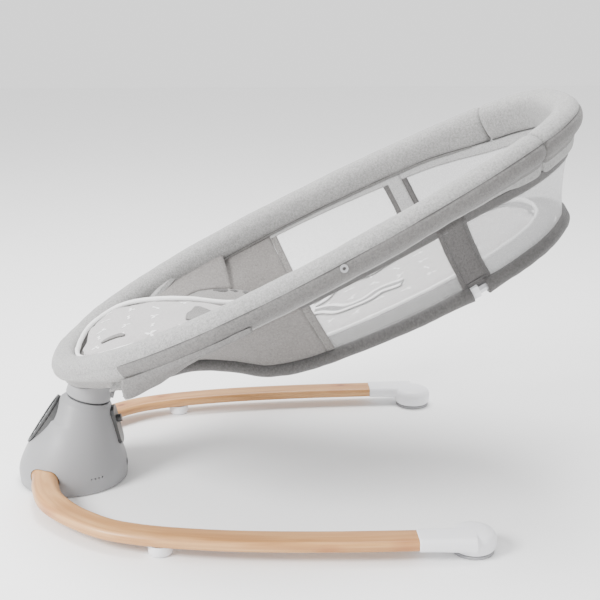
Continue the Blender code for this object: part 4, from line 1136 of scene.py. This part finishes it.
def make_pouch():
    """The fabric cover below the foot of the rim: flat on the collar, with a lobe behind it at each side."""
    stations = 84
    rings = []
    rim_fronts = [(point.y, point.x) for point in rim_span(0, math.pi / 2, 200)]
    for i in range(stations + 1):
        v = POUCH_HALF * (2 * i / stations - 1)
        start = read_line(rim_fronts, abs(v))
        roof = -roll_below(start)
        rise = 0.36 * max(0.0, math.sqrt(v * v + 0.008**2) - 0.0285)
        aside = max(0.0, abs(v) - LOBE_START)
        level = POUCH_LEVEL + rise + 0.2 * aside
        fuller = POUCH_FULLNESS * (1 - ease(abs(v) / 0.085))
        front = seat_w(start - fuller, level)
        inner = start + 0.012 - fuller
        lobe = LOBE_LEVEL + 0.26 * aside
        flat = min(seat_w(0.045, level), lobe + 0.02)
        outline = [
            (start + 0.002, roof + 0.012), (start - 0.003 - fuller, (roof + front) / 2 + 0.002),
            (start + 0.002 - fuller, front + 0.002), (inner, seat_w(inner, level)),
            (max(0.045, start + 0.02), flat), (0.066, (flat + lobe) / 2), (0.076, lobe + 0.006),
            (0.088, lobe), (0.104, lobe), (POUCH_BACK, lobe + 0.007), (POUCH_BACK - 0.002, -0.042),
            (0.104, -0.036),
        ]
        foremost = start - 0.005 - fuller
        outline = [(max(a, foremost) if b < roof else a, min(b, roof + 0.012)) for a, b in outline]
        closed = [*outline[-2:], *outline, *outline[:2]]
        curve = spline([Vector((a, v, b)) for a, b in closed], 6)
        rings.append(curve[12:-12])
    pouch = loft("foot_pouch", rings, RIM_CLOTH, None)
    ruffle(pouch, 22, 0.0012, seed=5.0)
    ruffle(pouch, 60, 0.0026, pouch_gather, 2.0)
    pouch.data.transform(SEAT)
    pouch.data.update()
    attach(pouch, "seat")
    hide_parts("foot_cover")


def pouch_gather(point):
    """Where the pouch's cloth is gathered: low down, behind the collar."""
    return ease((point.x - 0.06) / 0.03) * ease((-0.04 - point.z) / 0.015)


def make_apron():
    """The cloth inside the foot of the rim, which slopes from the roll down to the pad's edge all round."""
    front = [lying(0.0310, v, 0.05) for v in (0.0, 0.024)]
    inner = evenly([*front, *[sling_edge(0.031 + 0.004 * i) for i in range(50)]], 60)
    rows = []
    for side in (1, -1):
        part = []
        for i, low in enumerate(inner):
            turn = math.radians(68) * i / 59
            here = rim(turn)
            inward = (Vector((0.20, 0, 0)) - here).normalized()
            inward = inward.lerp(Vector((0, -1, 0)), ease((i - 8) / 50))
            top = here + inward * 0.0135 + Vector((0, 0, -0.010))
            base = low + Vector((0, -0.001, 0.0012))
            middle = top.lerp(base, 0.42) + Vector((0, 0, 0.0035 * (1 - ease((i - 30) / 20))))
            part.append(seat_points(mirrored(spline([top, middle, base], 6), side)))
        rows += part[::-1] if side == 1 else part[1:]
    # The darker wall cloth is the apron's own cloth where it meets the walls; at the foot, between the pad
    # and the roll, it is painted shade.
    apron = slab("foot_apron", rows, 0.0018, WALL_CLOTH)
    ruffle(apron, 26, 0.0010, seed=12.0)
    declare_sheet(rows)


def seat_w(u, height):
    """How far above the seat's plane a point at u is, for a height over the floor."""
    return (height - FOOT_HEIGHT - u * math.sin(SEAT_SLOPE)) / math.cos(SEAT_SLOPE)


# ---------------------------------------------------------------- walls

WALL_HEAD_RIM = evenly([Vector((u, v, 0)) for u, v in RIM_HALF_LINE if u >= HEAD_TURN_START], 120)
WALL_HEAD_TUBE = evenly([point for point in CRADLE if point.x >= HEAD_TURN_START], 120)
SIDE_SHARE = 0.62


def wall_line(place):
    """The rim point and the tube point that the wall joins, from place 0 near the foot to 1 at the head."""
    if place < SIDE_SHARE:
        u = WALL_START + (HEAD_TURN_START - WALL_START) * place / SIDE_SHARE
        low = next(i for i, point in enumerate(CRADLE[1:]) if point.x >= u)
        share = (u - CRADLE[low].x) / (CRADLE[low + 1].x - CRADLE[low].x)
        return Vector((u, read_line(RIM_HALF_LINE, u), 0)), CRADLE[low].lerp(CRADLE[low + 1], share)
    share = (place - SIDE_SHARE) / (1 - SIDE_SHARE) * 119
    i = min(118, int(share))
    return (
        WALL_HEAD_RIM[i].lerp(WALL_HEAD_RIM[i + 1], share - i),
        WALL_HEAD_TUBE[i].lerp(WALL_HEAD_TUBE[i + 1], share - i),
    )


def place_of(u):
    """The wall's place at a distance u from the foot, on its straight side."""
    return SIDE_SHARE * (u - WALL_START) / (HEAD_TURN_START - WALL_START)


def hem_depth(u):
    """How much of the wall's height the hem under the rim takes: more towards the head."""
    return 0.075 + 0.06 * ease((u - 0.36) / 0.30)


def wall_point(place, down, shift=0.0):
    """A point of the wall, down from 0 under the rim to 1 on the lower tube, moved out by shift."""
    head, foot = wall_line(place)
    middle = Vector((SEAT_LENGTH * 0.5, 0, 0))
    out = (Vector((head.x, head.y, 0)) - middle)
    out = Vector((0.35 * out.x if place > SIDE_SHARE * 0.8 else 0, out.y, 0)).normalized()
    inset = 0.0055 + 0.006 * ease((head.x - 0.61) / 0.08)
    top = head - out * inset + Vector((0, 0, 0.004 - roll_below(head.x) - 0.75 * inner_drop(head.x)))
    base = foot + Vector((0, 0, 0.004))
    sag = 4 * down * (1 - down) * 0.004
    return top.lerp(base, down) + out * (shift - sag)


def wall_panel(name, start, end, top, bottom, thickness, finish, side, shift=0.0):
    """A panel of the wall between two places and two heights; top may depend on the place."""
    steps = max(4, int((end - start) * 150))
    rows = []
    for i in range(steps + 1):
        place = start + (end - start) * i / steps
        high = top(place) if callable(top) else top
        row = []
        for j in range(13):
            down = high + (bottom - high) * j / 12
            row.append(wall_point(place, down, shift))
        rows.append(seat_points(mirrored(row, side)))
    made = slab(name, rows, thickness, finish)
    declare_sheet(rows)
    return made


def hem_top(place):
    """Where the net starts under the hem, as a share of the wall's height."""
    head, _ = wall_line(min(place, 1.0))
    return hem_depth(head.x)


def hem_strip(name, start, finish, side, shift):
    """The strip under the rim that the net is sewn to, as deep as hem_depth says."""
    rows = []
    for i in range(91):
        place = start + (1.0 - start) * i / 90
        deep = hem_top(place) * 1.05
        rows.append(seat_points(mirrored([wall_point(place, deep * j / 5, shift) for j in range(6)], side)))
    made = slab(name, rows, 0.0015, finish)
    declare_sheet(rows)


def make_walls():
    """The cloth walls, their windows, hems and straps, and the veil round the head."""
    start = place_of(WALL_START)
    binding = place_of(WALL_START + BINDING_WIDTH) - start
    for label, side in SIDES:
        window, window_end, strap_end = (place_of(u) for u in WINDOW[label])
        edge_start = window - binding
        cloth = wall_panel(f"{label}_wall_cloth", start, edge_start, 0.0, 1.0, 0.0022, WALL_CLOTH, side)
        ruffle(cloth, 30, 0.0016, seed=4.0 + side)
        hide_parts(f"{label}_side_wall")
        name = f"{label}_window_binding"
        edge = wall_panel(name, edge_start, window, 0.03, 1.0, 0.0026, BINDING_MESH, side, shift=0.0003)
        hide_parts(f"{label}_side_wall")
        wall_panel(f"{label}_side_net", window, window_end, hem_top, 1.0, 0.0006, CLEAR_NET, side)
        hem_strip(f"{label}_hem", edge_start, HEM_MESH, side, -0.0008)
        # The outer hem's dark cloth is painted shade: the hem lies recessed under the rim's band.
        hem_strip(f"{label}_shaded_outer_hem", edge_start, DARK_CLOTH_AND_HEM_SHADE, side, 0.0012)
        name = f"{label}_wall_strap"
        strap = wall_panel(name, window_end, strap_end, 0.02, 1.0, 0.0028, STRAP_CLOTH, side, shift=0.0008)
        ruffle(strap, 60, 0.0010, seed=8.0)
        inset = (strap_end - window_end) * 0.2
        name, low, high = f"{label}_strap_lining", window_end + inset, strap_end - inset
        wall_panel(name, low, high, 0.02, 0.98, 0.0012, HEM_MESH, side, shift=-0.0016)
        stitch_strap(label, side, window_end, strap_end)
    rows = []
    for label, side in SIDES:
        part = []
        steps = 90
        strap_end = place_of(WINDOW[label][2])
        for i in range(steps + 1):
            place = strap_end + (1.0 - strap_end) * i / steps
            high = hem_top(place)
            row = [wall_point(place, high + (1 - high) * j / 14) for j in range(15)]
            part.append(seat_points(mirrored(row, side)))
        rows += part if side == 1 else part[-2::-1]
    veil = slab("head_veil", rows, 0.0006, HEAD_NET)
    declare_sheet(rows)
    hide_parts("head_wall")


def stitch_strap(label, side, start, end):
    """Two rows of stitches down the wide strap and a box seam at its foot."""
    inset = (end - start) * 0.12
    for number, place in enumerate((start + inset, end - inset)):
        path = [wall_point(place, 0.06 + 0.88 * i / 30, 0.0026) for i in range(31)]
        thread(f"{label}_strap_seam_{number + 1}", mirrored(path, side), 0.0005)
    path = [wall_point(start + inset + (end - start - 2 * inset) * i / 12, 0.90, 0.0027) for i in range(13)]
    thread(f"{label}_strap_box_seam", mirrored(path, side), 0.0005)


def sleeve(name, path):
    """A gathered cloth sleeve, a little wider at its two ends."""
    count = len(path)

    def section(i):
        near_end = min(i, count - 1 - i)
        return round_section(SLEEVE_RADIUS * (1 + 0.24 * math.exp(-near_end / 5)), 20)

    made = swept(name, path, section, DARK_CLOTH_AND_HEM_SHADE, "seat")
    ruffle(made, 65, 0.0006, seed=6.0)
    ruffle(made, 24, 0.0006, seed=2.0)


def make_sleeves():
    """The cloth sleeves round the lower tube, with a bare stretch where the clips are."""
    fine = evenly(CRADLE, 900)
    for label, side in SIDES:
        path = [point for point in fine if SLEEVE_START < point.x < CLIP_START]
        sleeve(f"{label}_tube_sleeve", seat_points(mirrored(evenly(path, 130), side)))
    half = [point for point in fine if point.x > CLIP_END]
    whole = [*half, *mirrored(half[-2::-1], -1)]
    sleeve("head_tube_sleeve", seat_points(evenly(whole, 150)))


# ---------------------------------------------------------------- seat floor and insert pad

FLOOR_PROFILE = spline(
    [
        (SEAT_LENGTH * u, CRADLE_DEPTH * w, 0)
        for u, w in (
            (0.040, -0.04), (0.120, -0.09), (0.212, -0.28), (0.285, -0.57),
            (0.365, -0.83), (0.470, -0.93), (0.660, -0.965), (0.890, -0.955),
        )
    ],
    8,
)
FLOOR_OUTLINE = spline(
    [
        (SEAT_LENGTH * u, CRADLE_HALF * v, 0)
        for u, v in (
            (0.040, 0.30), (0.075, 0.50), (0.130, 0.60), (0.212, 0.74), (0.300, 0.90),
            (0.400, 0.925), (0.560, 0.92), (0.700, 0.89), (0.800, 0.74), (0.850, 0.60), (0.890, 0.36),
        )
    ],
    8,
)
INSERT_OUTLINE = spline(
    [
        (SEAT_LENGTH * u, CRADLE_HALF * v, 0)
        for u, v in (
            (0.034, 0.02), (0.038, 0.30), (0.051, 0.50), (0.076, 0.64), (0.112, 0.690), (0.170, 0.620),
            (0.220, 0.550), (0.270, 0.560), (0.330, 0.66), (0.430, 0.77), (0.640, 0.80), (0.760, 0.72),
            (0.840, 0.55), (0.880, 0.30), (0.890, 0.02),
        )
    ],
    8,
)
INSERT_THICKNESS = 0.014
INSERT_MIDDLE = 0.0102
BAND_BULGE = (0.0, 0.0045, 0.0085, 0.0130, 0.0180)
FLOOR_SAG = 0.006


def lying(u, v, half):
    """A point of the sagging floor cloth, where half is its half width at u."""
    share = v / max(half, 1e-6)
    sag = FLOOR_SAG * (1 - share**2) * min(1, u / (0.3 * SEAT_LENGTH))
    return Vector((u, v, read_line(FLOOR_PROFILE, u) - sag))


def lying_normal(u, step=0.006):
    """The floor's upward direction at u."""
    rise = read_line(FLOOR_PROFILE, u + step) - read_line(FLOOR_PROFILE, u - step)
    return Vector((-rise, 0, 2 * step)).normalized()


def sling_edge(u):
    """The left edge of the cloth floor: it reaches out to the lower tube behind the foot."""
    half = read_line(FLOOR_OUTLINE, u)
    edge = lying(u, half, half)
    if 0.106 < u < 0.330:
        low = next(k for k, point in enumerate(CRADLE[1:]) if point.x >= u)
        reach = ease((u - 0.106) / 0.06) * (1 - ease((u - 0.29) / 0.04))
        edge = edge.lerp(Vector((u, CRADLE[low].y - 0.001, CRADLE[low].z + 0.0085)), reach)
    return edge


def make_sling():
    """The cloth floor between the lower tubes, with a stiff board in its front."""
    rows = []
    start, end = FLOOR_OUTLINE[0].x, FLOOR_OUTLINE[-1].x
    for i in range(91):
        u = start + (end - start) * i / 90
        half = read_line(FLOOR_OUTLINE, u)
        row = [lying(u, half * (j / 10 - 1), half) for j in range(21)]
        row[20] = sling_edge(u)
        row[0] = Vector((u, -row[20].y, row[20].z))
        rows.append(seat_points(row))
    sling = slab("seat_sling", rows, 0.003, WALL_CLOTH)
    ruffle(sling, 24, 0.0012, seed=9.0)
    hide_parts("seat_floor")
    board = []
    for i in range(25):
        u = 0.205 + 0.062 * i / 24
        drop = Vector((0, 0, -0.011))
        board.append(seat_points([lying(u, 0.115 * (j / 8 - 1), 0.15) + drop for j in range(17)]))
    slab("seat_board", board, 0.0030, BOARD)


def pad_rings(shrink):
    """Closed rings round the pad across its length, thin at the edge and full in the middle."""
    rings = []
    start, end = INSERT_OUTLINE[0].x + 0.001, INSERT_OUTLINE[-1].x - 0.001
    for i in range(120):
        u = start + (end - start) * (0.5 - 0.5 * math.cos(math.pi * i / 119))
        half = max(0.004, read_line(INSERT_OUTLINE, u) - 0.0012)
        normal = lying_normal(u)
        ring = []
        for j in range(64):
            turn = 2 * math.pi * j / 64
            across = math.copysign(abs(math.cos(turn)) ** 0.55, math.cos(turn))
            full = math.copysign(abs(math.sin(turn)) ** 0.75, math.sin(turn))
            ends = min(1.0, ((u - start) / 0.02 + 0.35), ((end - u) / 0.02 + 0.35))
            thick = (INSERT_THICKNESS / 2 - shrink) * ends
            ring.append(lying(u, half * across, half) + normal * (INSERT_MIDDLE + thick * full))
        rings.append(ring)
    return rings


CLOTH_VOXEL = 0.005
CLOTH_PRESSURE = 4.0
CLOTH_FRAMES = 20
CLOTH_MOST = 0.006


def simulate(made):
    """Fills a closed form like a stuffed cushion with Blender's cloth, and limits how far a point may go."""
    remesh = made.modifiers.new("remesh", "REMESH")
    remesh.mode = "VOXEL"
    remesh.voxel_size = CLOTH_VOXEL
    apply_modifiers(made)
    rest = [vertex.co.copy() for vertex in made.data.vertices]
    cloth = made.modifiers.new("cloth", "CLOTH")
    cloth.settings.use_pressure = True
    cloth.settings.uniform_pressure_force = CLOTH_PRESSURE
    cloth.settings.effector_weights.gravity = 0
    cloth.settings.quality = 5
    cloth.point_cache.frame_start = 1
    cloth.point_cache.frame_end = CLOTH_FRAMES
    scene = bpy.context.scene
    for step in range(1, CLOTH_FRAMES + 1):
        scene.frame_set(step)
    apply_modifiers(made)
    scene.frame_set(1)
    for vertex, before in zip(made.data.vertices, rest):
        move = vertex.co - before
        if move.length > CLOTH_MOST:
            vertex.co = before + move.normalized() * CLOTH_MOST
    made.data.update()
    finer = made.modifiers.new("finer", "SUBSURF")
    finer.levels = finer.render_levels = 1
    apply_modifiers(made)


def make_insert():
    """The removable pad: simulated filling, white binding and a mesh side band."""
    pad = loft("insert_cushion", [seat_points(ring) for ring in pad_rings(0.0012)], PAD_CLOTH, None)
    simulate(pad)
    pad.data.materials.clear()
    pad.data.materials.append(PAD_CLOTH)
    smooth_by_angle(pad, 180)
    ruffle(pad, 26, 0.0022, seed=11.0)
    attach(pad, "seat")
    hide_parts("insert_pad")

    edge = insert_edge()
    cord = round_section(0.0036, 14, 0.70)
    binding = swept(
        "insert_binding", seat_points(edge), lambda i: cord, PIPING, "seat", closed=True
    )
    ruffle(binding, 90, 0.0005, seed=3.0)
    for label, side in SIDES:
        rows = []
        for here in evenly([point for point in INSERT_OUTLINE if point.x > 0.235], 150):
            half = here.y
            normal = lying_normal(here.x)
            out = Vector((0, 1, 0)) if here.x < 0.60 else Vector((here.x - 0.54, here.y, 0)).normalized()
            base = lying(here.x, half, half)
            row = [base + normal * (0.0165 - 0.0044 * j) + out * more for j, more in enumerate(BAND_BULGE)]
            rows.append(seat_points(mirrored(row, side)))
        band = slab(f"{label}_insert_band", rows, 0.0012, SIDE_MESH)
        declare_sheet(rows)
    return pad


def insert_edge():
    """The line of the pad's upper edge, once round."""
    half = evenly(INSERT_OUTLINE, 190)
    line = []
    for here in half:
        base = lying(here.x, here.y, here.y)
        line.append(base + lying_normal(here.x) * (INSERT_MIDDLE + 0.0052))
    return [*line, *mirrored(line[::-1], -1)]


class Lay:
    """Places flat pieces on the pad's upper face."""

    def __init__(self, pad):
        graph = bpy.context.evaluated_depsgraph_get()
        self.tree = BVHTree.FromObject(pad, graph)
        self.down = (SEAT.to_3x3() @ Vector((0, 0, -1))).normalized()

    def on(self, u, v, lift):
        start = SEAT @ Vector((u, v, 0.06))
        hit = self.tree.ray_cast(start, self.down)[0]
        if hit is None:
            return None
        return hit - self.down * lift


PRINT_ROWS = 17
PRINT_START = 0.062
PRINT_ROW_STEP = 0.0365
PRINT_COLUMN_STEP = 0.038
PRINT_MARGIN = 0.022
SPRIGS = (((0.0, 0.0105), (2.3, 0.0070), (-2.2, 0.0070)), ((0.0, 0.0095), (3.14, 0.0080)))


def make_print(lay):
    """Small sprigs and leaves printed over the pad, as thin raised shapes."""
    work = bmesh.new()
    for row in range(PRINT_ROWS):
        for column in range(-3, 4):
            u = PRINT_START + PRINT_ROW_STEP * row
            v = PRINT_COLUMN_STEP * (column + (0.5 if row % 2 else 0.0))
            limit = read_line(INSERT_OUTLINE, u) - PRINT_MARGIN
            if abs(v) > limit or (0.170 < u < 0.22 and -0.035 < v < 0.05):
                continue
            wobble = noise.noise(Vector((u * 37, v * 41, 1.5)))
            angle = wobble * 5 + 0.9 * column
            for turn, long in SPRIGS[(row + column) % 2]:
                add_leaf(work, lay, u, v, angle + turn, long)
    from_work("insert_print", work, PRINT, "seat")


def add_leaf(work, lay, u, v, angle, long):
    """One slim leaf: its two edges are arcs that meet at its ends."""
    ahead = Vector((math.cos(angle), math.sin(angle)))
    side = Vector((-ahead.y, ahead.x))
    left, right = [], []
    for i in range(7):
        share = i / 6
        wide = 0.0021 * math.sin(math.pi * (0.08 + 0.86 * share))
        bow = 0.0012 * math.sin(math.pi * share)
        for line, sign in ((left, 1), (right, -1)):
            flat = ahead * long * share + side * (bow + sign * wide)
            point = lay.on(u + flat.x, v + flat.y, 0.00035)
            if point is None:
                return
            line.append(work.verts.new(point))
    for i in range(6):
        work.faces.new((left[i], left[i + 1], right[i + 1], right[i]))


STRIP_THICKNESS = 0.0016
STRIP_COLUMNS = 7


def laid_strip(name, lay, line, width, finish, lift):
    """A flat strip that follows a line over the pad; its width may depend on the share of its length."""
    rows = []
    for i, here in enumerate(line):
        ahead = heading(line, i)
        side = Vector((-ahead.y, ahead.x, 0))
        wide = width(i / (len(line) - 1)) if callable(width) else width
        row = []
        for j in range(STRIP_COLUMNS):
            flat = here + side * wide * (j / (STRIP_COLUMNS - 1) - 0.5)
            row.append(lay.on(flat.x, flat.y, lift))
        if None not in row:
            rows.append(row)
    slab(name, rows, STRIP_THICKNESS, finish)


def make_harness(lay):
    """Shoulder straps that lie in S-curves on the pad, the half-round crotch patch, and the slot patches."""
    for label, side in SIDES:
        line = spline(
            [(0.330, side * 0.014, 0), (0.352, side * 0.026, 0), (0.376, side * 0.054, 0),
             (0.404, side * 0.062, 0), (0.432, side * 0.050, 0), (0.462, side * 0.060, 0)],
            9,
        )
        laid_strip(f"{label}_shoulder_strap", lay, line, 0.019, SIDE_MESH, 0.0022)
        for number, shift in enumerate((-1, 1)):
            edge = shifted(line, shift * 0.0100)
            laid_strip(f"{label}_strap_edge_{number + 1}", lay, edge, 0.0060, PIPING, 0.0032)
    patch = spline(
        [(0.300, -0.062, 0), (0.322, -0.050, 0), (0.336, 0.0, 0), (0.322, 0.050, 0), (0.300, 0.062, 0)], 8
    )
    laid_strip("crotch_patch", lay, shifted(patch, 0.011), 0.020, SIDE_MESH, 0.0022)
    laid_strip("crotch_patch_edge", lay, patch, 0.0065, PIPING, 0.0034)
    flap = spline([(0.176, -0.030, 0), (0.186, -0.008, 0), (0.190, 0.014, 0), (0.184, 0.036, 0)], 8)
    laid_strip("slot_flap", lay, shifted(flap, -0.004), half_round(0.006, 0.028), BAND_SHADE_AND_FLAP_CLOTH, 0.0016)
    notch = spline([(0.070, -0.070, 0), (0.080, -0.062, 0), (0.092, -0.062, 0), (0.102, -0.070, 0)], 8)
    laid_strip("notch_flap", lay, notch, half_round(0.003, 0.011), BAND_SHADE_AND_FLAP_CLOTH, 0.0016)


def half_round(least, more):
    """A strip's width along its length: narrow at both ends and widest in the middle."""
    return lambda share: least + more * math.sin(math.pi * share)


def shifted(line, amount):
    """The same line, moved to its left in the seat's plane."""
    found = []
    for i, here in enumerate(line):
        ahead = heading(line, i)
        found.append(here + Vector((-ahead.y, ahead.x, 0)) * amount)
    return found


def ribbed_strap(name, node):
    """Webbing that follows its CAD strap: the same place, with rounded edges."""
    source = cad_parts[node]
    made = bpy.data.objects.new(name, source.data.copy())
    bpy.context.scene.collection.objects.link(made)
    made.data.materials.clear()
    made.data.materials.append(WEBBING)
    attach(made, "seat")
    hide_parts(node)
    soften(made, 0.0006, 2, 50)
    smooth_by_angle(made, 60)


# ---------------------------------------------------------------- carried-over CAD nodes

NODE_FINISH = {
    "base_bottom_cover": SHELL, "base_grip_pad": GRIP, "control_panel": GLOSS, "rear_panel": GLOSS,
    "rear_button": GLOSS, "power_inlet": SMOKED, "neck_seal": SMOKED, "bearing_carrier": WHITE,
    "upper_bearing": STEEL, "lower_bearing": STEEL, "drive_coil": COPPER, "control_board": CIRCUIT,
    "speaker": SMOKED, "cover_screw_1": STEEL, "cover_screw_2": STEEL, "cover_screw_3": STEEL,
    "left_cap_sole": SOLE, "right_cap_sole": SOLE, "swing_shaft": STEEL, "drive_arm": SMOKED,
    "drive_magnet": STEEL, "release_button": SHELL, "seat_hub": SMOKED, "left_rim_tube": RIM_CLOTH,
    "right_rim_tube": RIM_CLOTH, "head_rim_tube": TUBING, "left_cradle_tube": TUBING,
    "right_cradle_tube": TUBING, "head_cradle_tube": TUBING, "left_tube_clip": WHITE,
    "right_tube_clip": WHITE, "left_eyelet": SHELL, "right_eyelet": SHELL, "buckle": WHITE,
    "buckle_button": SHELL, "panel_key_1": SMOKED, "panel_key_2": SMOKED, "panel_key_3": SMOKED,
    "panel_key_4": SMOKED,
}


def finish_nodes():
    """Gives every CAD node that stays in view its material."""
    for name, finish in NODE_FINISH.items():
        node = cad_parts[name]
        node.data.materials.clear()
        node.data.materials.append(finish)
        smooth_by_angle(node, 40)


make_base()
make_controls()
make_collar()
make_legs()
make_rolls()
make_skirts()
make_pouch()
make_walls()
make_sleeves()
make_sling()
make_apron()
cushion = make_insert()
lay = Lay(cushion)
make_print(lay)
make_harness(lay)
for strap in ("crotch_strap", "left_waist_strap", "right_waist_strap"):
    ribbed_strap(f"{strap}_webbing", strap)
finish_nodes()
